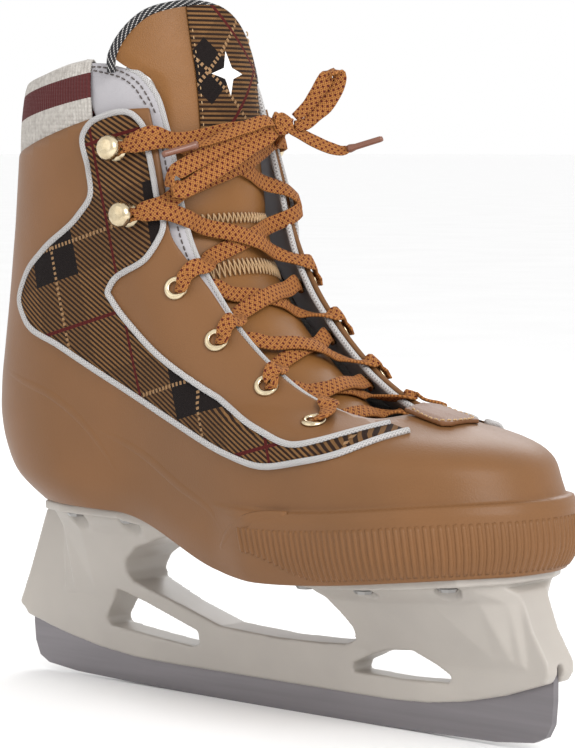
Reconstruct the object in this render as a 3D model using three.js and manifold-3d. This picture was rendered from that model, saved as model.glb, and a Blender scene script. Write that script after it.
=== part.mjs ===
// A laced recreational ice skate for the right foot: a moulded boot with a padded liner and tongue, laced
// through eyelets and speed hooks, riveted to a two-tower plastic holder that carries a steel runner.
// Millimetres. X points to the toe, Y to the wearer's left, Z up. The runner's lowest flat is at z = 0.
import * as THREE from "three";
import { mergeVertices } from "three/addons/utils/BufferGeometryUtils.js";
import Module from "manifold-3d";

const wasm = await Module();
wasm.setup();

// Overall sizes
const BOOT_LENGTH = 284; // heel back to toe front
const BOOT_WIDTH = 98; // across the ball of the foot
const BOOT_HEIGHT = 206; // sole at the ball to the top of the liner
const RUNNER_LENGTH = 281;
const HOLDER_HEIGHT = 59.5; // ice to sole at the ball
const HEEL_LIFT = 18; // heel sole above the ball
const TOE_SPRING = 9; // toe sole above the ball

// Walls, layers and small parts
const GAP = 0.35; // clearance between pieces that touch or are fixed to each other
const SHELL_WALL = 2.6;
const SHELL_FLOOR = 4.5;
const BUMPER_RELIEF = 2.6;
const LINER_WALL = 6.5;
const FACING_WALL = 2.2;
const FOOTBED = 4;
const PANEL = 0.9;
const PIPING_RADIUS = 1.15;
const TAB = 1.6;
const RUNNER_WIDTH = 3;
const RUNNER_SEAT = 6; // how deep the steel sits in the holder
const FLANGE = 4;
const WEB_TOP = 8; // half the thickness of the bridge
const WEB_RAIL = 4; // half the thickness of the rail that grips the steel
const RIVET_RADIUS = 2;
const RIVET_HEAD = 4.2;
const BOLT_RADIUS = 2.5;
const NUT_RADIUS = 5;
const EYELET_BORE = 2.5;
const EYELET_WALL = 0.6;
const EYELET_FLANGE = 4.6;
const HOOK_NECK = 1.9;
const HOOK_HEAD = 5;
const ROUND_SIDES = 10; // flats round every turned piece and drilled hole
const LACE_RADIUS = 1.2;
const TONGUE_PAD = 8;
const TONGUE_LINING = 1.2;

// Outlines are drawn for a boot of these sizes and stretched to the sizes above.
const DRAWN = { length: 284, width: 98, height: 206, sole: 59.5, runner: 281 };
const alongBoot = (x) => (x * BOOT_LENGTH) / DRAWN.length;
const acrossBoot = (y) => (y * BOOT_WIDTH) / DRAWN.width;
const upBoot = (z) => HOLDER_HEIGHT + ((z - DRAWN.sole) * BOOT_HEIGHT) / DRAWN.height;
const alongRunner = (x) => (x * RUNNER_LENGTH) / DRAWN.runner;
const upHolder = (z) => (z * HOLDER_HEIGHT) / DRAWN.sole;
const bootOutline = (points) => points.map(([x, z]) => [alongBoot(x), upBoot(z)]);

const clamp = (value) => Math.min(1, Math.max(0, value));
const smooth = (value) => clamp(value) ** 2 * (3 - 2 * clamp(value));
const mix = (from, to, share) => from + (to - from) * share;
const roundOff = (share) => Math.sqrt(1 - (1 - clamp(share)) ** 2);

// ---------------------------------------------------------------- solids

// Turns a closed geometry into a manifold solid.
function solidOf(geometry) {
  const bare = geometry.clone();
  bare.deleteAttribute("normal");
  bare.deleteAttribute("uv");
  const merged = mergeVertices(bare, 1e-4);
  const mesh = new wasm.Mesh({
    numProp: 3,
    vertProperties: new Float32Array(merged.attributes.position.array),
    triVerts: new Uint32Array(merged.index.array),
  });
  return new wasm.Manifold(mesh);
}

// Turns a manifold solid back into a geometry.
function geometryOf(solid) {
  const { vertProperties, triVerts } = solid.getMesh();
  const geometry = new THREE.BufferGeometry();
  geometry.setAttribute("position", new THREE.BufferAttribute(vertProperties, 3));
  geometry.setIndex(new THREE.BufferAttribute(triVerts, 1));
  return geometry;
}

// A closed geometry from loops of points, each loop joined to the next and both ends capped.
// Loops run anticlockwise seen from the far end, and the caps are cut by the given flat view of a point.
function loft(loops, flatten) {
  const count = loops[0].length;
  const positions = loops.flat().flatMap((point) => [point.x, point.y, point.z]);
  const index = [];
  for (let row = 0; row + 1 < loops.length; row++) {
    for (let k = 0; k < count; k++) {
      const a = row * count + k;
      const b = row * count + ((k + 1) % count);
      index.push(a, b, b + count, a, b + count, a + count);
    }
  }
  const last = (loops.length - 1) * count;
  for (const [a, b, c] of THREE.ShapeUtils.triangulateShape(loops[0].map(flatten), [])) index.push(a, c, b);
  for (const [a, b, c] of THREE.ShapeUtils.triangulateShape(loops.at(-1).map(flatten), [])) {
    index.push(last + a, last + b, last + c);
  }
  const geometry = new THREE.BufferGeometry();
  geometry.setAttribute("position", new THREE.Float32BufferAttribute(positions, 3));
  geometry.setIndex(index);
  return geometry;
}

function shapeOf(points) {
  return new THREE.Shape(points.map(([x, y]) => new THREE.Vector2(x, y)));
}

// A prism of a side-view outline (x, z) that spans from y = low to y = high.
function sidePrism(points, low, high) {
  const geometry = new THREE.ExtrudeGeometry(shapeOf(points), { depth: high - low, bevelEnabled: false });
  return geometry.rotateX(Math.PI / 2).translate(0, high, 0);
}

// A prism of a front-view outline (y, z) that spans from x = low to x = high.
function frontPrism(points, low, high) {
  const geometry = new THREE.ExtrudeGeometry(shapeOf(points), { depth: high - low, bevelEnabled: false });
  return geometry.rotateX(Math.PI / 2).rotateZ(Math.PI / 2).translate(low, 0, 0);
}

// Moves every side of a closed outline inwards by a distance (outwards if it is negative).
function inset(points, distance) {
  const count = points.length;
  const area = points.reduce((sum, [x, y], k) => {
    const [nextX, nextY] = points[(k + 1) % count];
    return sum + x * nextY - nextX * y;
  }, 0);
  const turn = Math.sign(area) * distance;
  return points.map(([x, y], k) => {
    const [beforeX, beforeY] = points[(k + count - 1) % count];
    const [afterX, afterY] = points[(k + 1) % count];
    const first = new THREE.Vector2(x - beforeX, y - beforeY).normalize();
    const second = new THREE.Vector2(afterX - x, afterY - y).normalize();
    const across = new THREE.Vector2(-first.y - second.y, first.x + second.x).normalize();
    const reach = turn / Math.max(0.35, across.dot(new THREE.Vector2(-first.y, first.x)));
    return [x + across.x * reach, y + across.y * reach];
  });
}

// A turned piece along the axis of a place on the skin. The profile is (radius, height) pairs.
function turned(profile, segments) {
  const closed = [...profile, profile[0]].map(([radius, height]) => new THREE.Vector2(radius, height));
  return new THREE.LatheGeometry(closed, segments);
}

function placed(geometry, origin, axis) {
  const up = new THREE.Vector3(0, 1, 0);
  const turn = new THREE.Quaternion().setFromUnitVectors(up, axis);
  return geometry.applyQuaternion(turn).translate(origin.x, origin.y, origin.z);
}

// A round tube whose rings stand at the given points, turned as little as possible from one to the next.
function tube(points, radius, sides) {
  const loops = [];
  let ahead = points[1].clone().sub(points[0]).normalize();
  let across = new THREE.Vector3(0, 0, 1).cross(ahead);
  if (across.length() < 0.3) across = new THREE.Vector3(0, 1, 0).cross(ahead);
  across.normalize();
  for (let k = 0; k < points.length; k++) {
    const before = points[Math.max(0, k - 1)];
    const after = points[Math.min(points.length - 1, k + 1)];
    const tangent = after.clone().sub(before).normalize();
    across.applyQuaternion(new THREE.Quaternion().setFromUnitVectors(ahead, tangent));
    ahead = tangent;
    const up = tangent.clone().cross(across);
    loops.push(
      Array.from({ length: sides }, (_, side) => {
        const angle = (2 * Math.PI * side) / sides;
        return points[k]
          .clone()
          .addScaledVector(across, radius * Math.cos(angle))
          .addScaledVector(up, radius * Math.sin(angle));
      }),
    );
  }
  const flatten = (_, side) =>
    new THREE.Vector2(Math.cos((2 * Math.PI * side) / sides), Math.sin((2 * Math.PI * side) / sides));
  return loft(loops, flatten);
}

// ---------------------------------------------------------------- the boot's skin

// Height of the sole's underside: high under the heel, down through the arch, rising to the toe.
const ARCH_REAR = alongBoot(-55);
const ARCH_FRONT = alongBoot(18);
const BALL = alongBoot(30);
const TOE = alongBoot(145);
function soleHeight(x) {
  const heel = HEEL_LIFT * smooth((ARCH_FRONT - x) / (ARCH_FRONT - ARCH_REAR));
  return HOLDER_HEIGHT + heel + TOE_SPRING * smooth((x - BALL) / (TOE - BALL));
}

// The boot is a stack of level lines seen from the side. Each row is [heel-back x, z, front x, z, flatness,
// rounding length over the top]. A level with flatness 0 runs parallel to the sole.
const LEVELS = [
  [-124, 77.5, 134, 68.4, 0, 46],
  [-138, 88, 138, 77, 0, 46],
  [-145, 100, 137, 88, 0, 46],
  [-147.5, 112, 133, 99, 0, 46],
  [-147, 122, 129, 107, 0.5, 46],
  [-146, 130, 119.5, 113.2, 0.8, 47],
  [-144.5, 138, 103, 117.8, 1, 50],
  [-143, 147, 79, 123.5, 1, 54],
  [-141.5, 157, 55, 131, 1, 56],
  [-140, 168, 34, 143, 1, 52],
  [-138.5, 180, 14, 159.5, 1, 42],
  [-137, 192, 0, 176, 1, 36],
  [-135.8, 205, -7, 192, 1, 36],
  [-134.5, 219, -10, 210, 1, 42],
  [-133, 235, -14, 231, 1, 50],
  [-131.5, 250, -17.5, 249, 1, 55],
  [-130, 266, -20, 266, 1, 58],
].map(([backX, backZ, frontX, frontZ, flatness, rounding]) => ({
  back: new THREE.Vector2(alongBoot(backX), upBoot(backZ)),
  front: new THREE.Vector2(alongBoot(frontX), upBoot(frontZ)),
  flatness,
  rounding,
}));
const TOP_LEVEL = LEVELS.length - 1;
const BUMPER_LEVEL = 2.45;
const BACK_LINE = new THREE.SplineCurve(LEVELS.map((level) => level.back));
const FRONT_LINE = new THREE.SplineCurve(LEVELS.map((level) => level.front));
const TOE_LEVEL = 3.5; // below it the plan is a rounded toe, above it the sides roll over the instep
const INSTEP_LEVEL = 6.5;
const ROLL_START = 4;
const TOE_ROUND = alongBoot(68);
const HEEL_ROUND = alongBoot(62);
const HEEL_HALF = acrossBoot(40);
const ANKLE_EXTRA = acrossBoot(2.5);
const BALL_HALF = acrossBoot(49);
const EDGE_ROUND = 13;
const EDGE_TUCK = 0.08;

function levelValue(name, u) {
  const low = Math.min(TOP_LEVEL - 1, Math.floor(u));
  return mix(LEVELS[low][name], LEVELS[low + 1][name], u - low);
}

const INSTEP = Array.from({ length: 121 }, (_, k) => {
  const u = mix(ROLL_START, TOP_LEVEL, k / 120);
  return { point: FRONT_LINE.getPoint(u / TOP_LEVEL), rounding: levelValue("rounding", u) };
});

// How far over the instep a side-view point lies, as a share of the rounding length there.
function instepShare(x, z) {
  let best = { distance: Infinity, rounding: 1 };
  for (let k = 0; k + 1 < INSTEP.length; k++) {
    const { point: a, rounding: from } = INSTEP[k];
    const { point: b, rounding: to } = INSTEP[k + 1];
    const alongX = b.x - a.x;
    const alongZ = b.y - a.y;
    const share = clamp(((x - a.x) * alongX + (z - a.y) * alongZ) / (alongX ** 2 + alongZ ** 2));
    const distance = Math.hypot(x - a.x - share * alongX, z - a.y - share * alongZ);
    if (distance < best.distance) best = { distance, rounding: mix(from, to, share) };
  }
  return best.distance / best.rounding;
}

// A point of the smooth skin. Around the boot, 0 is the heel and 1 the toe: 0 to 1 is its right side and
// 1 to 2 its left.
function smoothSkin(around, u) {
  const share = (1 - Math.cos(Math.PI * around)) / 2;
  const back = BACK_LINE.getPoint(clamp(u / TOP_LEVEL));
  const front = FRONT_LINE.getPoint(clamp(u / TOP_LEVEL));
  const x = mix(back.x, front.x, share);
  const soleChord = mix(soleHeight(back.x), soleHeight(front.x), share);
  const follow = 1 - levelValue("flatness", u);
  const z = mix(back.y, front.y, share) + follow * (soleHeight(x) - soleChord);
  const heelHalf = HEEL_HALF + ANKLE_EXTRA * smooth((z - upBoot(95)) / upBoot(0.27 * BOOT_HEIGHT));
  const full = mix(heelHalf, BALL_HALF, smooth((x + alongBoot(50)) / alongBoot(90)));
  const tuck = 1 - EDGE_TUCK * (1 - clamp((z - soleHeight(x)) / EDGE_ROUND)) ** 2;
  const roll = smooth((u - TOE_LEVEL) / (INSTEP_LEVEL - TOE_LEVEL));
  const toeShare = (front.x - x) / TOE_ROUND;
  const frontShare = roll === 0 ? toeShare : mix(toeShare, instepShare(x, z), roll);
  const onCentre = Math.abs(Math.sin(Math.PI * around)) < 1e-9;
  const half = onCentre ? 0 : full * tuck * roundOff(frontShare) * roundOff((x - back.x) / HEEL_ROUND);
  return new THREE.Vector3(x, -Math.sign(Math.sin(Math.PI * around)) * half, z);
}

// The skin is kept as a grid, so that every layer and everything that lies on it shares the same flat facets.
const STATIONS = 28; // around the boot
const GRID_LEVELS = [
  0, 0.4, 1, 1.7, BUMPER_LEVEL, 2.65, 3.5, 4.3, 5.1, 6, 7, 8.2, 9.4, 10.6, 12, 13.4, 14.8, 16,
];
const grid = GRID_LEVELS.map((u) =>
  Array.from({ length: STATIONS }, (_, k) => {
    const around = (2 * k) / STATIONS;
    const step = 0.004;
    const point = smoothSkin(around, u);
    const along = smoothSkin(around + step, u).sub(smoothSkin(around - step, u));
    const above = smoothSkin(around, Math.min(TOP_LEVEL, u + 5 * step));
    const upward = above.sub(smoothSkin(around, Math.max(0, u - 5 * step)));
    const normal = along.cross(upward).normalize();
    const relief = u <= BUMPER_LEVEL ? BUMPER_RELIEF * smooth((point.x - alongBoot(8)) / alongBoot(24)) : 0;
    return { point, normal, relief };
  }),
);

// The grid's vertex moved out by an offset. Layers inside the shell ignore the bumper's relief.
function vertex(row, k, offset) {
  const { point, normal, relief } = grid[row][(k + STATIONS) % STATIONS];
  return point.clone().addScaledVector(normal, offset >= 0 ? offset + relief : offset);
}

// A point on the faceted skin and the outward direction there.
function skin(around, u, offset) {
  const below = GRID_LEVELS.findLastIndex((level) => level <= u);
  const row = Math.max(0, Math.min(GRID_LEVELS.length - 2, below));
  const rise = clamp((u - GRID_LEVELS[row]) / (GRID_LEVELS[row + 1] - GRID_LEVELS[row]));
  const place = (around * STATIONS) / 2;
  const k = Math.floor(place);
  const run = place - k;
  const upper = [[row, k, 1 - rise], [row + 1, k + 1, run], [row + 1, k, rise - run]];
  const lower = [[row, k, 1 - run], [row, k + 1, run - rise], [row + 1, k + 1, rise]];
  const corners = rise > run ? upper : lower;
  const point = new THREE.Vector3();
  const normal = new THREE.Vector3();
  for (const [r, c, weight] of corners) {
    point.addScaledVector(vertex(r, c, offset), weight);
    normal.addScaledVector(grid[r][(c + STATIONS) % STATIONS].normal, weight);
  }
  return { point, normal: normal.normalize() };
}

// Where on the skin a side-view point lies: its place around the right side and its level.
function locate(x, z) {
  let low = 0;
  let high = TOP_LEVEL;
  const shareAt = (u) => {
    const back = BACK_LINE.getPoint(u / TOP_LEVEL);
    const front = FRONT_LINE.getPoint(u / TOP_LEVEL);
    return clamp((x - back.x) / (front.x - back.x));
  };
  for (let turn = 0; turn < 40; turn++) {
    const u = (low + high) / 2;
    const around = Math.acos(1 - 2 * shareAt(u)) / Math.PI;
    if (smoothSkin(around, u).z < z) low = u;
    else high = u;
  }
  const u = (low + high) / 2;
  return { around: Math.acos(1 - 2 * shareAt(u)) / Math.PI, u };
}

// The sole is flat between the grid's stations.
const SOLE_STOPS = grid[0].slice(0, STATIONS / 2 + 1).map(({ point }) => [point.x, soleHeight(point.x)]);
function facetedSole(x) {
  const k = SOLE_STOPS.findIndex(([stop]) => stop >= x);
  if (k <= 0) return soleHeight(x);
  const [fromX, from] = SOLE_STOPS[k - 1];
  const [toX, to] = SOLE_STOPS[k];
  return mix(from, to, (x - fromX) / (toX - fromX));
}

// The same place on the given side of the boot: "right" or "left".
const onSide = (around, side) => (side === "right" ? around : 2 - around);

// A closed solid bounded by the skin moved by an offset. The floor is lifted so that it lies at least the
// given height above the sole.
function skinSolid(offset, floor = 0) {
  const offsetAt = typeof offset === "function" ? offset : () => offset;
  const loops = [];
  for (let row = 0; row < GRID_LEVELS.length; row++) {
    const loop = Array.from({ length: STATIONS }, (_, k) => vertex(row, k, offsetAt(k)));
    const lifted = loop.map((point) => Math.max(point.z, soleHeight(point.x) + floor));
    const clear = loop.every((point, k) => point.z >= lifted[k] - 1e-9);
    if (clear && loops.length === 0 && floor > 0) loops.push(flooredLoop(row, offsetAt, floor));
    if (clear) loops.push(loop);
  }
  return capRings(loops);
}

// The loop where a skin layer meets its floor, found between a row and the one below it.
function flooredLoop(row, offsetAt, floor) {
  return Array.from({ length: STATIONS }, (_, k) => {
    const above = vertex(row, k, offsetAt(k));
    const below = vertex(row - 1, k, offsetAt(k));
    const point = above.clone().lerp(below, 0.9);
    point.z = Math.min(above.z - 0.2, soleHeight(point.x) + floor);
    return point;
  });
}

// Joins loops that go once round the boot, and closes the lowest and highest with strips across.
function capRings(loops) {
  const positions = loops.flat().flatMap((point) => [point.x, point.y, point.z]);
  const index = [];
  for (let row = 0; row + 1 < loops.length; row++) {
    for (let k = 0; k < STATIONS; k++) {
      const a = row * STATIONS + k;
      const b = row * STATIONS + ((k + 1) % STATIONS);
      index.push(a, b, b + STATIONS, a, b + STATIONS, a + STATIONS);
    }
  }
  const cap = (base, flip) => {
    for (let k = 0; k < STATIONS / 2; k++) {
      const right = [base + k, base + k + 1];
      const left = [base + ((STATIONS - k) % STATIONS), base + STATIONS - k - 1];
      const pairs = [[right[0], right[1], left[1]], [right[0], left[1], left[0]]];
      for (const [a, b, c] of pairs) {
        if (a === b || b === c || a === c) continue;
        index.push(...(flip ? [a, c, b] : [a, b, c]));
      }
    }
  };
  cap(0, true);
  cap((loops.length - 1) * STATIONS, false);
  const geometry = new THREE.BufferGeometry();
  geometry.setAttribute("position", new THREE.Float32BufferAttribute(positions, 3));
  geometry.setIndex(index);
  return solidOf(geometry);
}

// The part of a layer, between two offsets of the skin, that lies inside a side-view outline.
function layerPatch(outline, inner, outer, low, high) {
  const layer = skinSolid(outer).subtract(skinSolid(inner));
  return layer.intersect(solidOf(sidePrism(outline, low, high)));
}

// The space in front of an edge of the throat, cut square to the skin. The edge's places run down the right
// side.
const CUT_DEPTH = 10;
const CUT_OUT = 4;
const CUT_AHEAD = 35;
function throatSpace(edge) {
  const loops = edge.map(({ around, u }) => {
    const { point, normal } = skin(around, u, 0);
    const inner = point.clone().addScaledVector(normal, -CUT_DEPTH);
    const outer = point.clone().addScaledVector(normal, CUT_OUT);
    const ahead = outer.clone().add(new THREE.Vector3(CUT_AHEAD, 0, CUT_AHEAD));
    const right = [ahead, outer, inner];
    return [...right, ...right.map((at) => at.clone().setY(-at.y)).reverse()];
  });
  const above = loops[0].map((at) => at.clone().add(new THREE.Vector3(-8, 0, 40)));
  return solidOf(loft([above, ...loops], (at) => new THREE.Vector2(at.y, at.x + at.z)));
}

const REACH = BOOT_WIDTH; // farther out than any part of the boot
const sideSpan = (side) => (side === "right" ? [-REACH, -1] : [1, REACH]);

// ---------------------------------------------------------------- outlines of the boot, seen from the side

// The open throat's edge, from the top of the shell down to its end over the toes.
const THROAT_EDGE = bootOutline([
  [-37, 238.3], [-31.6, 221.8], [-27, 206.2], [-22.5, 188.7], [-15.1, 178.2], [-8.4, 170.2], [4.5, 155.4],
  [23.2, 139.2], [37.6, 130.3], [49, 125.5], [61.9, 122.3], [72.4, 121.4], [77.5, 122.6],
]);
const SHELL_TOP = bootOutline([
  [-160, 206], [-134, 211], [-122, 218.4], [-102, 223.8], [-83, 228.6], [-66, 233], [-55, 235.5],
]);
const SHELL_OUTLINE = [
  ...SHELL_TOP,
  ...bootOutline([[-37, 238.3], [0, 244], [180, 244], [180, 30], [-160, 30]]),
];
const LINER_TOP = bootOutline([
  [-160, 244], [-122, 247], [-96, 251.4], [-78.7, 254.6], [-67, 256.4], [-56, 256.2], [-47.6, 254.1],
]);
const LINER_EDGE = bootOutline([
  [-39.8, 249.4], [-34.9, 245.4], [-30.5, 231.6], [-23.1, 208.1], [-18.5, 192.5], [-12.8, 179.7], [-7, 171.3],
  [5.3, 156.2], [23.9, 139.9], [38.2, 131], [49.4, 126.2], [62.2, 123], [72.6, 122.1],
]);
const LINER_OUTLINE = [
  ...LINER_TOP,
  ...bootOutline([[-39.8, 249.4], [-34.9, 245.4], [180, 245.4], [180, 30], [-160, 30]]),
];
const KNIT_OUTLINE = bootOutline([
  [-170, 202], [-80, 212], [-64, 221], [-60.5, 234.5], [-65.4, 241.7], [-69.5, 256], [-73, 270], [-170, 270],
]);
const FACING_OUTLINE = [
  ...bootOutline([[-60.1, 234], [-65, 241.7], [-69.1, 256], [-72, 270], [-30, 270]]),
  ...LINER_EDGE.map(([x, z]) => [x + 12, z + 12]),
  ...bootOutline([[60, 112], [42, 112], [14, 128], [-22, 156], [-46, 190], [-60.1, 221]]),
];
const PANEL_OUTLINE = bootOutline([
  [86, 115.5], [76.5, 110.7], [57.3, 106.1], [37.1, 103.2], [20.5, 106.1], [-9.8, 115.5], [-45.8, 129],
  [-79.9, 143.3], [-103.2, 153.2], [-108, 160], [-102.8, 170.8], [-89.5, 181.4], [-67.5, 195.9], [-60.5, 204],
  [-61.6, 213.9], [-64.6, 228], [-62, 231.5], [-54.7, 235.2], [-43, 236], [-38.5, 232], [-34.5, 221],
  [-29.5, 205], [-25.5, 190], [-29.4, 180.8], [-49.3, 168.5], [-51, 165.5], [-48.7, 162.6], [-32.9, 149.4],
  [-0.3, 131.4], [35.3, 116.6], [54.8, 112.1], [66, 114.5], [74, 117.6],
]);
const EYELET_PLACES = bootOutline([[52.3, 120.1], [25.6, 132], [2.5, 148.6], [-17, 168.2]]);
const HOOK_PLACES = bootOutline([[-39, 196], [-47.3, 221.8]]);

// ---------------------------------------------------------------- boot

const FASTENER_SIDES = ["right", "left"];
const throatEdge = THROAT_EDGE.map(([x, z]) => locate(x, z));
const linerEdge = LINER_EDGE.map(([x, z]) => locate(x, z));
const eyelets = EYELET_PLACES.map(([x, z]) => locate(x, z));
const hooks = HOOK_PLACES.map(([x, z]) => locate(x, z));

// A drill along the skin's normal at a place, for an eyelet or a hook's rivet.
function drill({ around, u }, side, radius, low, high) {
  const { point, normal } = skin(onSide(around, side), u, 0);
  const height = high - low;
  const cylinder = new THREE.CylinderGeometry(radius, radius, height, ROUND_SIDES);
  return solidOf(placed(cylinder.translate(0, low + height / 2, 0), point, normal));
}

const EYELET_HOLE = EYELET_BORE + EYELET_WALL + GAP;
const HOOK_SHANK = 1.6;
function drillFacings(solid) {
  let drilled = solid;
  for (const side of FASTENER_SIDES) {
    for (const place of eyelets) drilled = drilled.subtract(drill(place, side, EYELET_HOLE, -20, 5));
    for (const place of hooks) drilled = drilled.subtract(drill(place, side, HOOK_SHANK + GAP, -4, 5));
  }
  return drilled;
}

// Rivets in pairs along the holder's flanges, seated in the shell's floor.
const RIVET_ROWS = [
  { name: "front", places: [34, 72, 110].map(alongRunner), inboard: 7 },
  { name: "rear", places: [-92, -60].map(alongRunner), inboard: 7 },
];
const CLINCH_DEPTH = 2.6;
const rivets = RIVET_ROWS.flatMap(({ name, places, inboard }) =>
  places.flatMap((x, k) =>
    FASTENER_SIDES.map((side) => {
      const y = (flangeHalf(x) - inboard) * (side === "right" ? -1 : 1);
      return { name: `rivet_${name}_${k + 1}_${side}`, x, y };
    }),
  ),
);

function verticalCylinder(x, y, low, high, radius, sides) {
  const height = high - low;
  const cylinder = new THREE.CylinderGeometry(radius, radius, height, sides);
  return solidOf(cylinder.rotateX(Math.PI / 2).translate(x, y, low + height / 2));
}

function bootShell() {
  const inside = skinSolid(-SHELL_WALL, SHELL_FLOOR);
  let shell = skinSolid(0).subtract(inside).intersect(solidOf(sidePrism(SHELL_OUTLINE, -REACH, REACH)));
  shell = shell.subtract(throatSpace(throatEdge));
  for (const { x, y } of rivets) {
    const floor = facetedSole(x) + SHELL_FLOOR;
    const hole = verticalCylinder(x, y, floor - 10, floor + 5, RIVET_RADIUS + GAP, ROUND_SIDES);
    const seat = verticalCylinder(x, y, floor - CLINCH_DEPTH, floor + 5, RIVET_HEAD + GAP, ROUND_SIDES);
    shell = shell.subtract(hole).subtract(seat);
  }
  return drillFacings(shell);
}

// The liner is thin beside the throat, where the laces pull, and thick round the heel and ankle.
const LINER_OUT = -SHELL_WALL - GAP;
const FACING_START = 0.48;
const FACING_FULL = 0.66;
function linerInside(k) {
  const around = (2 * k) / STATIONS;
  const fromHeel = around <= 1 ? around : 2 - around;
  const thin = smooth((fromHeel - FACING_START) / (FACING_FULL - FACING_START));
  return LINER_OUT - mix(LINER_WALL, FACING_WALL, thin);
}
const LINER_FLOOR = SHELL_FLOOR + GAP;
const linerLayer = skinSolid(LINER_OUT, LINER_FLOOR)
  .subtract(skinSolid(linerInside, LINER_FLOOR + FACING_WALL))
  .intersect(solidOf(sidePrism(LINER_OUTLINE, -REACH, REACH)))
  .subtract(throatSpace(linerEdge));
const knitZone = solidOf(sidePrism(KNIT_OUTLINE, -REACH, REACH));
const facingZone = solidOf(sidePrism(FACING_OUTLINE, -REACH, REACH));

function liner() {
  const knitCut = solidOf(sidePrism(inset(KNIT_OUTLINE, -GAP), -REACH, REACH));
  const facingCut = solidOf(sidePrism(inset(FACING_OUTLINE, -GAP), -REACH, REACH));
  return linerLayer.subtract(knitCut).subtract(facingCut);
}

function knitCuff() {
  return linerLayer.intersect(knitZone);
}

function collarFacing(side) {
  const half = solidOf(sidePrism(FACING_OUTLINE, ...sideSpan(side)));
  return drillFacings(linerLayer.subtract(knitZone).intersect(half));
}

function footbed() {
  const under = LINER_FLOOR + FACING_WALL + GAP;
  const inner = skinSolid((k) => linerInside(k) - GAP, under);
  const slab = SOLE_STOPS.map(([x, z]) => [x, z + under + FOOTBED]);
  const below = [...slab, [alongBoot(150), 0], [alongBoot(-150), 0]];
  return inner.intersect(solidOf(sidePrism(below, -REACH, REACH)));
}

function sidePanel(side) {
  const outline = inset(PANEL_OUTLINE, PIPING_RADIUS + 2 * GAP);
  let panel = layerPatch(outline, GAP, GAP + PANEL, ...sideSpan(side));
  for (const place of hooks) panel = panel.subtract(drill(place, side, HOOK_SHANK + GAP, -3, 5));
  return panel;
}

// Piping runs round the panel, open at its front end, where the toe tab covers it.
const PIPING_STEP = 9;
const PIPING_OUT = 1.15 + PIPING_RADIUS; // its middle, above the skin

function piping(side) {
  const onPanel = (x, z) => {
    const { around, u } = locate(x, z);
    return skin(onSide(around, side), u, PIPING_OUT).point;
  };
  const points = [];
  for (let k = 0; k + 1 < PANEL_OUTLINE.length; k++) {
    const [x, z] = PANEL_OUTLINE[k];
    const [nextX, nextZ] = PANEL_OUTLINE[k + 1];
    const steps = Math.ceil(Math.hypot(nextX - x, nextZ - z) / PIPING_STEP);
    for (let step = 0; step < steps; step++) {
      points.push(onPanel(mix(x, nextX, step / steps), mix(z, nextZ, step / steps)));
    }
  }
  points.push(onPanel(...PANEL_OUTLINE.at(-1)));
  return tube(points, PIPING_RADIUS, 5);
}

// A stitched leather tab that bridges the end of the throat.
function toeTab() {
  const rear = alongBoot(76);
  const front = alongBoot(97);
  const half = 11;
  const corner = 3;
  const outline = [
    [rear, -half], [front - corner, -half], [front, corner - half], [front, half - corner],
    [front - corner, half], [rear, half],
  ];
  const column = new THREE.ExtrudeGeometry(shapeOf(outline), { depth: 60, bevelEnabled: false });
  const over = solidOf(column.translate(0, 0, upBoot(112)));
  return skinSolid(GAP + TAB).subtract(skinSolid(GAP)).intersect(over);
}

function eyelet(place, side) {
  const { point, normal } = skin(onSide(place.around, side), place.u, 0);
  const barrel = EYELET_BORE + EYELET_WALL;
  const low = LINER_OUT - FACING_WALL - GAP;
  const seat = 2 * GAP;
  const profile = [
    [EYELET_BORE, low], [barrel, low], [barrel, seat], [EYELET_FLANGE, seat],
    [EYELET_FLANGE - 0.4, seat + 0.7], [EYELET_BORE, seat + 0.7],
  ];
  return placed(turned(profile, ROUND_SIDES), point, normal);
}

const HOOK_BASE = 3 * GAP + PANEL;
const HOOK_GRIP = HOOK_BASE + 0.7; // underside of the space where the lace runs
const HOOK_SPACE = 4.6;
function laceHook(place, side) {
  const { point, normal } = skin(onSide(place.around, side), place.u, 0);
  const profile = [
    [0, -SHELL_WALL], [HOOK_SHANK, -SHELL_WALL], [HOOK_SHANK, HOOK_BASE], [4.2, HOOK_BASE], [4.2, HOOK_GRIP],
    [HOOK_NECK, HOOK_GRIP], [HOOK_NECK, HOOK_GRIP + HOOK_SPACE], [HOOK_HEAD, HOOK_GRIP + HOOK_SPACE],
    [HOOK_HEAD - 1, HOOK_GRIP + HOOK_SPACE + 2.2], [0, HOOK_GRIP + HOOK_SPACE + 2.8],
  ];
  return placed(turned(profile, ROUND_SIDES), point, normal);
}

// ---------------------------------------------------------------- tongue

// The tongue's centre line from its seam under the throat's end to its top, and half its width on the way.
const TONGUE_LINE = [
  [66, 110, 20], [55, 114.5, 25], [43, 121, 28], [29.5, 130.5, 29], [15.5, 142, 30], [-1, 157, 30],
  [-12.5, 173, 30], [-18.5, 189, 29.5], [-21.5, 206, 29], [-24, 225, 28], [-25.5, 240, 25], [-27, 252, 26],
  [-29, 261.5, 38], [-32.5, 280, 46], [-33.5, 287, 46],
].map(([x, z, half]) => new THREE.Vector3(alongBoot(x), acrossBoot(half), upBoot(z)));
const TONGUE_CURVE = new THREE.CatmullRomCurve3(TONGUE_LINE, false, "centripetal");
const TONGUE_CURL = 0.0135; // how fast the sides fall back from the centre line, per millimetre
const TONGUE_ROWS = 18;
const TONGUE_COLUMNS = 8;
const BINDING_RADIUS = 1.6;

// The tongue's rounded top seen from the front, from its left shoulder over to its higher right one.
const TONGUE_TOP = [
  [29, 250], [27.5, 256], [23.5, 263], [17.5, 270], [10, 275.5], [2, 279], [-8, 281], [-20, 280.7],
  [-29, 278.2], [-36, 272], [-40.5, 263.5], [-41.5, 255],
].map(([y, z]) => [acrossBoot(y), upBoot(z)]);

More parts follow.
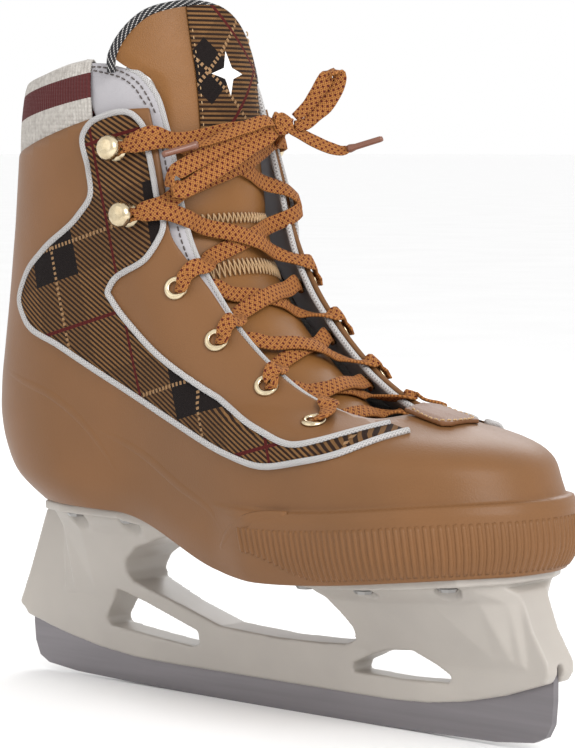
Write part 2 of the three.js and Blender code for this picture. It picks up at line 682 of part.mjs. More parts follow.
// A point of the tongue's face: share along it from 0 to 1, side from -1 to 1, and offset from the face.
function tonguePoint(share, sideways, offset) {
  const at = TONGUE_CURVE.getPoint(share);
  const ahead = TONGUE_CURVE.getTangent(share).setY(0).normalize();
  const out = new THREE.Vector3(ahead.z, 0, -ahead.x);
  const y = sideways * at.y;
  return new THREE.Vector3(at.x, y, at.z).addScaledVector(out, offset - TONGUE_CURL * y * y);
}

// A sheet over the tongue between two offsets, given as functions of the place across it.
function tongueSheet(low, high, from = 0) {
  const loops = [];
  for (let row = 0; row <= TONGUE_ROWS; row++) {
    const share = mix(from, 1, row / TONGUE_ROWS);
    const across = Array.from({ length: TONGUE_COLUMNS + 1 }, (_, k) => {
      return mix(-1, 1, k / TONGUE_COLUMNS);
    });
    const face = across.map((sideways) => tonguePoint(share, sideways, high(sideways)));
    const back = across.map((sideways) => tonguePoint(share, sideways, low(sideways)));
    loops.push([...face, ...back.reverse()]);
  }
  const columns = TONGUE_COLUMNS + 1;
  const flatten = (_, k) => {
    return k < columns ? new THREE.Vector2(k, 0) : new THREE.Vector2(2 * columns - 1 - k, 1);
  };
  return solidOf(loft(loops, flatten));
}

// The tongue's outline under its binding, or a margin within that.
function tongueTrim(margin = 0) {
  const foot = [[TONGUE_TOP.at(-1)[0], 0], [TONGUE_TOP[0][0], 0]];
  const outline = inset([...TONGUE_TOP, ...foot], 2 * BINDING_RADIUS + GAP + margin);
  return solidOf(frontPrism(outline, -REACH * 2, REACH * 2));
}

// The padding's right shoulder ends above the collar's corner, so that the tongue can lean back.
const COLLAR_CORNER = [[-60, 236], [-28.5, 236], [-28.5, 261], [-60, 267.5]].map(([y, z]) => {
  return [acrossBoot(y), upBoot(z)];
});

// The padding is thick in the middle and thin at the edges.
const TONGUE_TAPER = 0.6;
const padding = (sideways) => -TONGUE_PAD * (1 - TONGUE_TAPER * sideways ** 2);

function tongueBody() {
  const pad = tongueSheet(padding, () => 0).intersect(tongueTrim());
  return pad.subtract(solidOf(frontPrism(COLLAR_CORNER, -REACH, REACH)));
}

function tongueLining() {
  const face = (sideways) => padding(sideways) - 3 * GAP;
  return tongueSheet((sideways) => face(sideways) - TONGUE_LINING, face).intersect(tongueTrim(13));
}

function tonguePatch() {
  const window = [[-21, upBoot(226)], [21, upBoot(226)], [21, upBoot(276)], [-21, upBoot(276)]];
  const patch = tongueSheet(() => GAP, () => GAP + PANEL, 0.6).intersect(tongueTrim(1));
  return patch.intersect(solidOf(frontPrism(window, -REACH, REACH)));
}

// A plain four-pointed star badge.
function tongueEmblem() {
  const centre = upBoot(252);
  const star = Array.from({ length: 8 }, (_, k) => {
    const radius = k % 2 ? 3.2 : 9;
    return [radius * Math.sin((k * Math.PI) / 4), centre + radius * Math.cos((k * Math.PI) / 4)];
  });
  const low = 2 * GAP + PANEL;
  const badge = tongueSheet(() => low, () => low + 0.7, 0.6);
  return badge.intersect(solidOf(frontPrism(star, -REACH, REACH)));
}

function tongueBinding() {
  const line = inset(TONGUE_TOP, BINDING_RADIUS).slice(1, -1);
  const points = line.map(([y, z]) => {
    let share = 1;
    while (share > 0 && TONGUE_CURVE.getPoint(share).z > z) share -= 0.002;
    const at = TONGUE_CURVE.getPoint(share);
    return new THREE.Vector3(at.x - TONGUE_CURL * y * y - TONGUE_PAD / 4, y, z);
  });
  return tube(points, BINDING_RADIUS, 6);
}

// ---------------------------------------------------------------- lace

const LACE_OUT = LACE_RADIUS + 3 * GAP + 1.1; // outside the eyelets
const LACE_IN = LINER_OUT - FACING_WALL - GAP * 2.5 - LACE_RADIUS; // under the facings
const LACE_BEND = 1.7;
const OVER_TONGUE = LACE_RADIUS + 1.3; // the lower of two crossing strands, off the tongue
const CROSSED = OVER_TONGUE + 2 * LACE_RADIUS + GAP; // the upper one
const OVER_LINER = LINER_OUT + LACE_RADIUS + 6 * GAP; // a strand that rides over the liner's edge

// The frame of a hole or hook: its point, outward axis, and the direction round the boot to the throat.
function laceFrame(place, side) {
  const around = onSide(place.around, side);
  const { point, normal } = skin(around, place.u, 0);
  const toThroat = skin(around + (side === "right" ? 0.02 : -0.02), place.u, 0).point.sub(point);
  toThroat.addScaledVector(normal, -toThroat.dot(normal)).normalize();
  const upward = normal.clone().cross(toThroat).multiplyScalar(side === "right" ? -1 : 1);
  return { point, normal, toThroat, upward };
}

// Out through an eyelet, from under the facing to over it.
function throughEyelet(place, side) {
  const { point, normal, toThroat } = laceFrame(place, side);
  const at = (out, in_) => point.clone().addScaledVector(normal, out).addScaledVector(toThroat, in_);
  const corner = 0.3 * LACE_BEND;
  return [
    at(LACE_IN, LACE_BEND),
    at(LACE_IN + corner, corner),
    at(LACE_IN + LACE_BEND, 0),
    at(LACE_OUT - LACE_BEND, 0),
    at(LACE_OUT - corner, corner),
    at(LACE_OUT, LACE_BEND),
  ];
}

// Round the back of a hook, from below to above.
const HOOK_LACE = HOOK_GRIP + HOOK_SPACE / 2;
function roundHook(place, side) {
  const { point, normal, toThroat, upward } = laceFrame(place, side);
  const radius = HOOK_NECK + LACE_RADIUS + GAP;
  return [-80, -130, 180, 130, 80].map((degrees) => {
    const angle = (degrees * Math.PI) / 180;
    return point
      .clone()
      .addScaledVector(normal, HOOK_LACE)
      .addScaledVector(toThroat, radius * Math.cos(angle))
      .addScaledVector(upward, radius * Math.sin(angle));
  });
}

// A point over the tongue at a height, a distance to the left of its centre line.
function overTongue(z, y, offset) {
  let share = 0;
  while (share < 1 && TONGUE_CURVE.getPoint(share).z < z) share += 0.004;
  return tonguePoint(share, y / TONGUE_CURVE.getPoint(share).y, offset);
}

const spot = ({ around, u }, side, offset) => skin(onSide(around, side), u, offset).point;
const between = (a, b, share) => ({ around: mix(a.around, b.around, share), u: mix(a.u, b.u, share) });

// The place on an edge that lies nearest to a straight line between two points.
function edgeCrossing(edge, from, to, side) {
  const line = new THREE.Ray(from, to.clone().sub(from).normalize());
  const steps = 8;
  const places = edge.slice(1).flatMap((place, k) => {
    return Array.from({ length: steps }, (_, step) => between(edge[k], place, step / steps));
  });
  const distances = places.map((place) => line.distanceToPoint(spot(place, side, 0)));
  return places[distances.indexOf(Math.min(...distances))];
}

// From a fastener towards a far point, over or under the throat's edge and the liner's edge.
function toEdge(fastener, far, side, offset) {
  const near = spot(fastener, side, 0);
  const shellPlace = edgeCrossing(throatEdge, near, far, side);
  const linerPlace = edgeCrossing(linerEdge, near, far, side);
  return [
    spot(between(fastener, shellPlace, 0.45), side, offset),
    spot(shellPlace, side, offset),
    spot(linerPlace, side, Math.min(offset, OVER_LINER)),
  ];
}

// A strand across the throat. It leaves over its own side's edge and ends under the other one, or over it at
// hooks.
function strand(from, to, side, offTongue, startOut, endsUnder) {
  const other = side === "right" ? "left" : "right";
  const first = toEdge(from, spot(to, other, 0), side, startOut);
  const last = toEdge(to, spot(from, side, 0), other, endsUnder ? LACE_IN : HOOK_LACE).reverse();
  const leave = first.at(-1);
  const arrive = last[0];
  const middle = [0.22, 0.5, 0.78].map((share) => {
    return overTongue(mix(leave.z, arrive.z, share), mix(leave.y, arrive.y, share), offTongue);
  });
  return [...first, ...middle, ...last];
}

const KNOT = new THREE.Vector3(alongBoot(-5), 8, upBoot(232));
const KNOT_SIZE = new THREE.Vector3(5.5, 5.5, 6.5);

// Half of the lace, from the lowest eyelet of one side up to the knot, crossing over at every step.
function halfLace(firstSide) {
  const route = [...eyelets.map((place) => ({ place, eyelet: true })), ...hooks.map((place) => ({ place }))];
  const points = [];
  let side = firstSide;
  const offTongue = firstSide === "right" ? CROSSED : OVER_TONGUE;
  route.forEach(({ place, eyelet: isEyelet }, k) => {
    points.push(...(isEyelet ? throughEyelet(place, side) : roundHook(place, side)));
    const next = route[k + 1];
    if (!next) return;
    const startOut = isEyelet ? LACE_OUT : HOOK_LACE;
    points.push(...strand(place, next.place, side, offTongue, startOut, Boolean(next.eyelet)));
    side = side === "right" ? "left" : "right";
  });
  const last = hooks.at(-1);
  const toKnot = side === "right" ? 1 : -1;
  const atKnot = KNOT.clone().add(new THREE.Vector3(-1, -toKnot * (KNOT_SIZE.y + 2 * GAP), 1));
  const overEdge = toEdge(last, atKnot, side, HOOK_LACE);
  return [...points, ...overEdge, overEdge.at(-1).clone().lerp(atKnot, 0.5), atKnot];
}

const LACE_SIDES = 5;
const LOW_BAR = [alongBoot(53), 0, upBoot(120)]; // the middle of the lace's lowest strand
function lace() {
  const right = halfLace("right");
  const left = halfLace("left");
  const [lowest] = eyelets;
  const edges = FASTENER_SIDES.map((side) => toEdge(lowest, new THREE.Vector3(...LOW_BAR), side, LACE_IN));
  const inner = edges[1].at(-1);
  const middle = [-0.55, 0, 0.55].map((share) => overTongue(inner.z, share * inner.y, OVER_TONGUE));
  const bottom = [...edges[0], ...middle, ...edges[1].reverse()];
  return tube([...right.reverse(), ...bottom, ...left], LACE_RADIUS, LACE_SIDES);
}

// The bow's free parts are drawn from the knot outwards.
const fromKnot = (points) => points.map(([x, y, z]) => new THREE.Vector3(x, y, z).add(KNOT));
const RIGHT_LOOP = fromKnot([
  [0, -7.8, -2], [-2, -14, -3], [-5, -24, -7], [-9, -35, -13], [-12, -44, -17.5], [-13.5, -48.5, -20.5],
  [-13, -49, -24], [-11.5, -45, -25.5], [-8, -36, -21], [-4, -24, -14], [-1, -14, -8], [1, -8, -5],
]);
const LEFT_LOOP = fromKnot([
  [2.5, 5.8, 2.5], [5.5, 9.5, 7], [8.5, 11.5, 12], [11, 13, 16.5], [13, 14.5, 20], [14.5, 16, 21], [15, 18, 19.5],
  [14, 18.5, 16], [12, 17.5, 11.5], [9.5, 15.5, 7], [7, 12.5, 3.5], [4.6, 9.5, 0],
]);
const RIGHT_END = fromKnot([
  [0.5, -8.6, 1.4], [-1, -16, -0.5], [-3.5, -25, -3.5], [-6, -33, -6.5], [-9, -40, -8.5],
]);
const LEFT_END = fromKnot([[2.1, 5.35, -2.45], [6, 14, -7], [9.5, 19, -9.5], [13, 22.5, -10.5], [16, 24, -9.5]]);
const AGLET_RADIUS = 1.3;

function aglet(end, length) {
  const tip = end.at(-1);
  const ahead = tip.clone().sub(end.at(-2)).normalize();
  const start = tip.clone().addScaledVector(ahead, GAP);
  return tube([start, start.clone().addScaledVector(ahead, length)], AGLET_RADIUS, 8);
}

function knot() {
  return new THREE.SphereGeometry(1, 12, 8).scale(...KNOT_SIZE).translate(...KNOT);
}

// ---------------------------------------------------------------- holder and runner

// The rail's lower edge: level under the boot, curling up at both ends.
const CURL_FROM = 60;
const railHeight = (x) => {
  const drawn = (x * DRAWN.runner) / RUNNER_LENGTH;
  const rear = 0.002 * Math.max(0, -CURL_FROM - drawn) ** 2;
  const front = 0.0024 * Math.max(0, drawn - CURL_FROM) ** 2;
  return upHolder(11.3 + rear + front);
};
const flangeTop = (x) => facetedSole(x) - GAP;

// Half the width of the holder's flanges, which follow the outline of the sole.
function flangeHalf(x) {
  const drawn = (x * DRAWN.runner) / RUNNER_LENGTH;
  const outline = [
    [-114, 14], [-108, 25], [-95, 29], [-60, 30], [-34, 25], [-26, 18], [26, 16], [32, 26], [46, 32],
    [70, 36], [98, 36.5], [118, 30], [127, 20], [132, 10],
  ];
  const k = Math.max(1, outline.findIndex(([at]) => at >= drawn));
  const [fromX, from] = outline[k - 1];
  const [toX, to] = outline[k];
  return acrossBoot(mix(from, to, clamp((drawn - fromX) / (toX - fromX))));
}

// One tower with its flange: sections across the boot that narrow from the flange to the web.
function tower(stations, foot) {
  const loops = stations.map((drawn) => {
    const x = alongRunner(drawn);
    const top = flangeTop(x) + 3;
    const half = flangeHalf(x);
    const under = flangeTop(x) - FLANGE;
    const right = [
      [half, top], [half, under], [half - 5, under - 0.5],
      [mix(WEB_TOP, half - 5, 0.55), mix(under, foot, 0.25)],
      [WEB_TOP + 0.5, foot], [WEB_RAIL, foot - 8],
    ];
    const loop = [...right, ...right.map(([y, z]) => [-y, z]).reverse()];
    return loop.map(([y, z]) => new THREE.Vector3(x, y, z));
  });
  return solidOf(loft(loops.map((loop) => loop.reverse()), (point) => new THREE.Vector2(point.y, point.z)));
}

const holderOutline = (points) => points.map(([x, z]) => [alongRunner(x), upHolder(z)]);
const REAR_TOWER_BACK = holderOutline([[-139.5, 24.6], [-143, 29], [-137, 42.5], [-131.5, 56], [-126, 70]]);
const REAR_TOWER_FRONT = holderOutline([
  [-34, 68.5], [-50, 64.5], [-64, 60], [-72, 54], [-73.5, 49], [-71, 45],
]);
const BRIDGE_TOP = holderOutline([
  [-49, 38], [-24, 31], [7, 29.8], [30, 30.4], [44, 31.4], [50, 34], [51, 39], [47.5, 45], [42, 51],
]);
const FRONT_TOWER_BACK = holderOutline([[34, 54.5], [27, 56.5]]);
const FRONT_TOWER_FRONT = holderOutline([[130, 60], [135.5, 46], [142.5, 35], [143.3, 31]]);
const REAR_OPENING = holderOutline([
  [-81.6, 40.6], [-88, 31], [-90, 27], [-88.3, 24.6], [-64.6, 22.4], [-41, 20.6], [-37, 22], [-37, 27.5],
]);
const FRONT_OPENING = holderOutline([
  [45.6, 20.6], [46, 24], [56, 28.5], [65, 31.3], [78, 32.6], [95, 24.2], [94, 21.8], [70, 20.4],
]);

// The top of a tower in side view, a little above its flange's top, to be cut off level with the sole.
function towerTop(from, to) {
  return Array.from({ length: 6 }, (_, k) => {
    const x = alongRunner(mix(from, to, k / 5));
    return [x, flangeTop(x) - 1];
  });
}

// The flange of a tower in side view.
function flangeZone(from, to) {
  const stops = Array.from({ length: 9 }, (_, k) => alongRunner(mix(from, to, k / 8)));
  const top = stops.map((x) => [x, flangeTop(x) + 5]);
  const under = stops.map((x) => [x, flangeTop(x) - FLANGE]).reverse();
  return solidOf(sidePrism([...top, ...under], -REACH, REACH));
}

function holder() {
  const bottom = [];
  for (let x = 141; x >= -139; x -= 20) bottom.push([alongRunner(x), railHeight(alongRunner(x))]);
  const outline = [
    ...REAR_TOWER_BACK,
    ...towerTop(-112, -36),
    ...REAR_TOWER_FRONT,
    ...BRIDGE_TOP,
    ...FRONT_TOWER_BACK,
    ...towerTop(32, 122),
    ...FRONT_TOWER_FRONT,
    ...bottom,
  ];
  const web = sidePrism(outline, -1, 1);
  const place = web.attributes.position;
  for (let k = 0; k < place.count; k++) {
    const share = clamp((place.getZ(k) - upHolder(11)) / upHolder(18));
    place.setY(k, place.getY(k) * mix(WEB_RAIL, WEB_TOP, share));
  }
  const trim = solidOf(sidePrism(outline, -REACH, REACH));
  const rearTower = tower([-114, -108, -95, -60, -34, -26], upHolder(38));
  const frontTower = tower([26, 32, 46, 70, 98, 118, 127, 132], upHolder(33));
  const rearFlange = rearTower.intersect(flangeZone(-115, -25));
  const frontFlange = frontTower.intersect(flangeZone(25, 133));
  let body = solidOf(web).add(rearTower.intersect(trim)).add(frontTower.intersect(trim));
  body = body.add(rearFlange).add(frontFlange);
  const sole = SOLE_STOPS.map(([x, z]) => [x, z - GAP]);
  const aboveSole = [[-2 * BOOT_LENGTH, HOLDER_HEIGHT], ...sole, [2 * BOOT_LENGTH, sole.at(-1)[1]]];
  const sky = [[2 * BOOT_LENGTH, 2 * BOOT_HEIGHT], [-2 * BOOT_LENGTH, 2 * BOOT_HEIGHT]];
  body = body.subtract(solidOf(sidePrism([...aboveSole, ...sky], -REACH, REACH)));
  body = body.subtract(solidOf(sidePrism(REAR_OPENING, -REACH, REACH)));
  body = body.subtract(solidOf(sidePrism(FRONT_OPENING, -REACH, REACH)));
  const slot = runnerTop(GAP).concat([[alongRunner(160), -5], [alongRunner(-160), -5]]);
  body = body.subtract(solidOf(sidePrism(slot, -RUNNER_WIDTH / 2 - GAP, RUNNER_WIDTH / 2 + GAP)));
  for (const { x, y } of rivets) {
    const seat = flangeTop(x) - FLANGE;
    body = body.subtract(verticalCylinder(x, y, 0, 100, RIVET_RADIUS + GAP, 8));
    body = body.subtract(verticalCylinder(x, y, seat - 30, seat, RIVET_HEAD + 1, ROUND_SIDES));
  }
  for (const x of BOLT_PLACES) {
    body = body.subtract(verticalCylinder(x, 0, lugTop(x), 100, BOLT_RADIUS + GAP, 8));
    body = body.subtract(verticalCylinder(x, 0, flangeTop(x) - NUT_HEIGHT - 1, 100, NUT_RADIUS + GAP, 6));
  }
  return body;
}

// The steel has a lug in each tower, held down by a bolt from the top of the tower.
const BOLT_PLACES = [-108, 112].map(alongRunner);
const LUG_HALF = 7;
const LUG_RISE = 8;
const NUT_HEIGHT = 4;
const seatHeight = (x) => railHeight(x) + RUNNER_SEAT;
const lugTop = (x) => seatHeight(x) + LUG_RISE;

// The steel's upper edge, grown by a margin, from the heel to the toe.
function runnerTop(margin) {
  const points = [];
  for (let drawn = -154; drawn <= 154; drawn += 14) {
    const x = alongRunner(drawn);
    points.push([x, seatHeight(x) + margin]);
  }
  for (const bolt of BOLT_PLACES) {
    const lug = [
      [bolt - LUG_HALF - margin, seatHeight(bolt - LUG_HALF) + margin],
      [bolt - LUG_HALF - margin, lugTop(bolt) + margin],
      [bolt + LUG_HALF + margin, lugTop(bolt) + margin],
      [bolt + LUG_HALF + margin, seatHeight(bolt + LUG_HALF) + margin],
    ];
    const inside = ([x]) => x > lug[0][0] - 1 && x < lug[2][0] + 1;
    const kept = points.filter((point) => !inside(point));
    points.splice(0, points.length, ...kept, ...lug);
    points.sort((a, b) => (Math.abs(a[0] - b[0]) < 1e-9 ? 0 : a[0] - b[0]));
  }
  return points;
}

// The steel runner: a long gentle rocker with a short flat in the middle, curving up at both tips.
const ROCKER_RADIUS = 3200;
const FLAT_HALF = 18;
function runner() {
  const half = RUNNER_LENGTH / 2;
  const edge = (x) => Math.max(0, Math.abs(x) - FLAT_HALF) ** 2 / (2 * ROCKER_RADIUS);
  const bottom = [];
  for (const x of [0.81, 0.6, 0.35]) bottom.push([half * x, edge(half * x)]);
  bottom.push([FLAT_HALF, 0], [-FLAT_HALF, 0]);
  for (const x of [-0.35, -0.6, -0.81]) bottom.push([half * x, edge(half * x)]);
  const toe = [[half, 20], [half - 0.8, 11], [half - 3.5, 6], [half - 9, 3.4]];
  const heel = [[9 - half, 3.2], [3.5 - half, 6], [0.8 - half, 12], [-half, 20]];
  const top = runnerTop(0).filter(([x]) => Math.abs(x) <= half);
  const ends = [-half, half].map((x) => [x, railHeight(x) - 0.5]);
  const outline = [ends[0], ...top, ends[1], ...toe, ...bottom, ...heel];
  return sidePrism(outline, -RUNNER_WIDTH / 2, RUNNER_WIDTH / 2);
}

function bolt(x) {
  const low = lugTop(x) + GAP * 2;
  const high = flangeTop(x) - 1;
  return verticalCylinder(x, 0, low, high, BOLT_RADIUS, 8);
}

// A nut sunk in the tower's top, round the end of its bolt.
function nut(x) {
  const high = flangeTop(x) - 1;
  const ring = verticalCylinder(x, 0, high - NUT_HEIGHT + GAP, high, NUT_RADIUS, 6);
  return ring.subtract(verticalCylinder(x, 0, high - 20, high + 5, BOLT_RADIUS + GAP, 8));
}

function rivet({ x, y }) {
  const floor = facetedSole(x) + SHELL_FLOOR;
  const seat = flangeTop(x) - FLANGE - GAP * 1.5;
  const clinch = floor - CLINCH_DEPTH + GAP;
  const profile = [
    [0, seat - 1.6], [RIVET_HEAD - 1, seat - 1.4], [RIVET_HEAD, seat], [RIVET_RADIUS, seat],
    [RIVET_RADIUS, clinch],
    [RIVET_HEAD - 0.6, clinch], [RIVET_HEAD - 0.6, floor - 0.8], [0, floor - 0.8],
  ];
  return turned(profile, 8).rotateX(Math.PI / 2).translate(x, y, 0);
}

// ---------------------------------------------------------------- assembly

const finish = (color, roughness, metalness = 0) => {
  return new THREE.MeshStandardMaterial({ color, roughness, metalness });
};
const FINISHES = {
  tan: () => finish(0xa9794d, 0.45),
  padding: () => finish(0xb9b4b0, 0.75),
  knit: () => finish(0xe6ded2, 0.95),
  plaid: () => finish(0x4a3426, 0.9),
  piping: () => finish(0xd9d6d2, 0.8),
  gold: () => finish(0xc9a24a, 0.3, 1),
  leather: () => finish(0xa06c3a, 0.55),
  lining: () => finish(0x2c2724, 0.95),
  lace: () => finish(0xc47f4e, 0.85),
  aglet: () => finish(0x8a5a3c, 0.4),
  badge: () => finish(0xe8e2d8, 0.6),
  holder: () => finish(0xddd3c4, 0.4),
  steel: () => finish(0xa9a7a6, 0.35, 1),
};

const skate = new THREE.Group();

function addPiece(name, shape, finishName) {
  const geometry = shape.isBufferGeometry ? shape : geometryOf(shape);
  const mesh = new THREE.Mesh(geometry, FINISHES[finishName]());
  mesh.name = name;
  skate.add(mesh);
}

addPiece("runner", runner(), "steel");
addPiece("holder", holder(), "holder");
BOLT_PLACES.forEach((x, k) => {
  addPiece(`runner_bolt_${["rear", "front"][k]}`, bolt(x), "steel");
  addPiece(`runner_nut_${["rear", "front"][k]}`, nut(x), "steel");
});
for (const place of rivets) addPiece(place.name, rivet(place), "steel");

addPiece("boot_shell", bootShell(), "tan");
addPiece("liner", liner(), "padding");
addPiece("footbed", footbed(), "lining");
addPiece("knit_cuff", knitCuff(), "knit");
for (const side of FASTENER_SIDES) {
  addPiece(`collar_facing_${side}`, collarFacing(side), "padding");
  addPiece(`plaid_panel_${side}`, sidePanel(side), "plaid");
  addPiece(`piping_${side}`, piping(side), "piping");
  eyelets.forEach((place, k) => addPiece(`eyelet_${k + 1}_${side}`, eyelet(place, side), "gold"));
  hooks.forEach((place, k) => addPiece(`lace_hook_${k + 1}_${side}`, laceHook(place, side), "gold"));
}
addPiece("toe_tab", toeTab(), "leather");

addPiece("tongue_body", tongueBody(), "leather");
addPiece("tongue_lining", tongueLining(), "lining");
addPiece("tongue_patch", tonguePatch(), "plaid");
addPiece("tongue_emblem", tongueEmblem(), "badge");
addPiece("tongue_binding", tongueBinding(), "lining");

addPiece("lace", lace(), "lace");
addPiece("lace_knot", knot(), "lace");
addPiece("bow_loop_right", tube(RIGHT_LOOP, LACE_RADIUS, LACE_SIDES), "lace");
addPiece("bow_loop_left", tube(LEFT_LOOP, LACE_RADIUS, LACE_SIDES), "lace");
addPiece("lace_end_right", tube(RIGHT_END, LACE_RADIUS, LACE_SIDES), "lace");
addPiece("lace_end_left", tube(LEFT_END, LACE_RADIUS, LACE_SIDES), "lace");
addPiece("aglet_right", aglet(RIGHT_END, 18), "aglet");
addPiece("aglet_left", aglet(LEFT_END, 10), "aglet");

export default skate;
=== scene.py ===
import math

import bpy
import numpy as np
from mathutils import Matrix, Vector
from mathutils.geometry import delaunay_2d_cdt


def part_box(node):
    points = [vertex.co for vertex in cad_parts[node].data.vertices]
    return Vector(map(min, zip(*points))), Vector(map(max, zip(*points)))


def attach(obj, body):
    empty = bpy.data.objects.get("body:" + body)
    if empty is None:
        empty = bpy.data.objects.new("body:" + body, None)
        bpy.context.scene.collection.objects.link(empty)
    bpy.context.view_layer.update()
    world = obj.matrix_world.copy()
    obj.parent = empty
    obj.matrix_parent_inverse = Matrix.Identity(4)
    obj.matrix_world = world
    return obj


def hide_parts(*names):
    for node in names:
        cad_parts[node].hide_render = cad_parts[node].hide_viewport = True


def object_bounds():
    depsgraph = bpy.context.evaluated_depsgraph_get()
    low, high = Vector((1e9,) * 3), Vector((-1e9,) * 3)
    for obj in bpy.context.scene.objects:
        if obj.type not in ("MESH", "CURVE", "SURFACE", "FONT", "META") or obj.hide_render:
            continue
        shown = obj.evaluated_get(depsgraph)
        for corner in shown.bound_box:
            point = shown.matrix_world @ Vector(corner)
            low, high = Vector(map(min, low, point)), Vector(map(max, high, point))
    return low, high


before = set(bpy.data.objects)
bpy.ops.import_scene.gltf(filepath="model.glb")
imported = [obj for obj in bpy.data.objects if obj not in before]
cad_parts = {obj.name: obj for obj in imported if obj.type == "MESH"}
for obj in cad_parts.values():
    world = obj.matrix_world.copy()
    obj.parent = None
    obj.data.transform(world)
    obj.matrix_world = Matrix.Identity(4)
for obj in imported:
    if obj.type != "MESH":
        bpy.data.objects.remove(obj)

CAD_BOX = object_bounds()
MM = 0.001  # shapes below are worked out in millimetres
BOOT = "boot"
TONGUE = "tongue"
SIDES = ("right", "left")
THREAD_RADIUS = 0.3

# ---------------------------------------------------------------- camera and light

CAMERA_AZIMUTH = math.radians(42.81)
CAMERA_ELEVATION = math.radians(4.29)
CAMERA_DISTANCE = 1.2
CAMERA_LENS = 146.4
CAMERA_TARGET = Vector((0.00606, 0, 0.13367))


def add_camera():
    flat = math.cos(CAMERA_ELEVATION)
    back = Vector((
        math.sin(CAMERA_AZIMUTH) * flat,
        -math.cos(CAMERA_AZIMUTH) * flat,
        math.sin(CAMERA_ELEVATION),
    ))
    camera = bpy.data.objects.new("camera", bpy.data.cameras.new("camera"))
    camera.location = CAMERA_TARGET + back * CAMERA_DISTANCE
    camera.rotation_mode = "QUATERNION"
    camera.rotation_quaternion = (-back).to_track_quat("-Z", "Y")
    camera.data.lens = CAMERA_LENS
    camera.data.clip_start = 0.05
    bpy.context.scene.collection.objects.link(camera)
    bpy.context.scene.camera = camera


def add_area_light(name, place, size, power):
    light = bpy.data.lights.new(name, "AREA")
    light.size = size
    light.energy = power
    lamp = bpy.data.objects.new(name, light)
    lamp.location = place
    lamp.rotation_mode = "QUATERNION"
    lamp.rotation_quaternion = (Vector((0, 0, 0.12)) - Vector(place)).to_track_quat("-Z", "Y")
    bpy.context.scene.collection.objects.link(lamp)


def add_studio():
    world = bpy.data.worlds.new("studio")
    world.use_nodes = True
    world.node_tree.nodes["Background"].inputs["Color"].default_value = (1, 1, 1, 1)
    world.node_tree.nodes["Background"].inputs["Strength"].default_value = 1.0
    bpy.context.scene.world = world
    add_area_light("key", (1.3, -0.4, 0.9), 0.7, 15)
    add_area_light("fill", (-0.3, -1.5, 0.9), 1.2, 3)
    add_area_light("rim", (-0.6, 1.2, 1.0), 0.8, 7)
    bpy.context.scene.view_settings.view_transform = "Standard"


def add_floor():
    mesh = bpy.data.meshes.new("floor")
    reach = 60.0
    corners = [(-reach, -reach, 0), (reach, -reach, 0), (reach, reach, 0), (-reach, reach, 0)]
    mesh.from_pydata(corners, [], [(0, 1, 2, 3)])
    floor = bpy.data.objects.new("floor", mesh)
    floor.location.z = CAD_BOX[0].z
    bpy.context.scene.collection.objects.link(floor)
    floor.data.materials.append(plain_material("floor_paper", (0.98, 0.98, 0.98), 0.95))


# ---------------------------------------------------------------- numbers

clamp = lambda value: np.clip(value, 0, 1)
mix = lambda a, b, share: a + (b - a) * share


def smooth(value):
    t = clamp(value)
    return t * t * (3 - 2 * t)


def round_off(share):
    return np.sqrt(np.maximum(0, 1 - (1 - clamp(share)) ** 2))


def unit(vectors):
    vectors = np.asarray(vectors, float)
    return vectors / np.maximum(np.linalg.norm(vectors, axis=-1, keepdims=True), 1e-12)


def spline(points, step, *carried):
    """A smooth line through the points at about the given step, with values carried along it."""
    points = np.asarray(points, float)
    carried = [np.asarray(values, float).reshape(len(points), -1) for values in carried]
    chord = np.maximum(np.linalg.norm(np.diff(points, axis=0), axis=1), 1e-9)
    slope = np.diff(points, axis=0) / chord[:, None]
    tangent = np.vstack([slope, slope[-1:]])
    before, after = chord[:-1, None], chord[1:, None]
    tangent[1:-1] = (slope[:-1] * after + slope[1:] * before) / (before + after)
    line, extra = [], [[] for _ in carried]
    for k, length in enumerate(chord):
        count = max(1, round(length / step))
        t = np.arange(count + (k == len(chord) - 1))[:, None] / count
        line.append(
            (2 * t**3 - 3 * t**2 + 1) * points[k] + (t**3 - 2 * t**2 + t) * length * tangent[k]
            + (3 * t**2 - 2 * t**3) * points[k + 1] + (t**3 - t**2) * length * tangent[k + 1]
        )
        for store, values in zip(extra, carried):
            store.append(mix(values[k], values[k + 1], smooth(t)))
    line = np.vstack(line)
    return (line, *[np.vstack(values) for values in extra]) if carried else line


def travelled(line):
    """How far along a line each of its points is."""
    return np.concatenate([[0], np.cumsum(np.linalg.norm(np.diff(line, axis=0), axis=1))])


def inside(points, outline):
    """Which of the points lie in a closed outline."""
    x, y = points[:, 0], points[:, 1]
    result = np.zeros(len(points), bool)
    for (x1, y1), (x2, y2) in zip(outline, np.roll(outline, -1, axis=0)):
        crosses = (y1 > y) != (y2 > y)
        result ^= crosses & (x < (x2 - x1) * (y - y1) / (y2 - y1 + 1e-12) + x1)
    return result


def edge_distance(points, outline):
    """How far the points lie from a closed outline."""
    best = np.full(len(points), np.inf)
    for start, end in zip(outline, np.roll(outline, -1, axis=0)):
        along = end - start
        share = clamp(((points - start) @ along) / max(along @ along, 1e-12))
        best = np.minimum(best, np.linalg.norm(points - start - share[:, None] * along, axis=1))
    return best


def closed(points, step):
    """A closed outline with points no further apart than a step."""
    points = np.asarray(points, float)
    line = []
    for start, end in zip(points, np.roll(points, -1, axis=0)):
        count = max(1, math.ceil(np.linalg.norm(end - start) / step))
        line += [mix(start, end, k / count) for k in range(count)]
    return np.array(line)


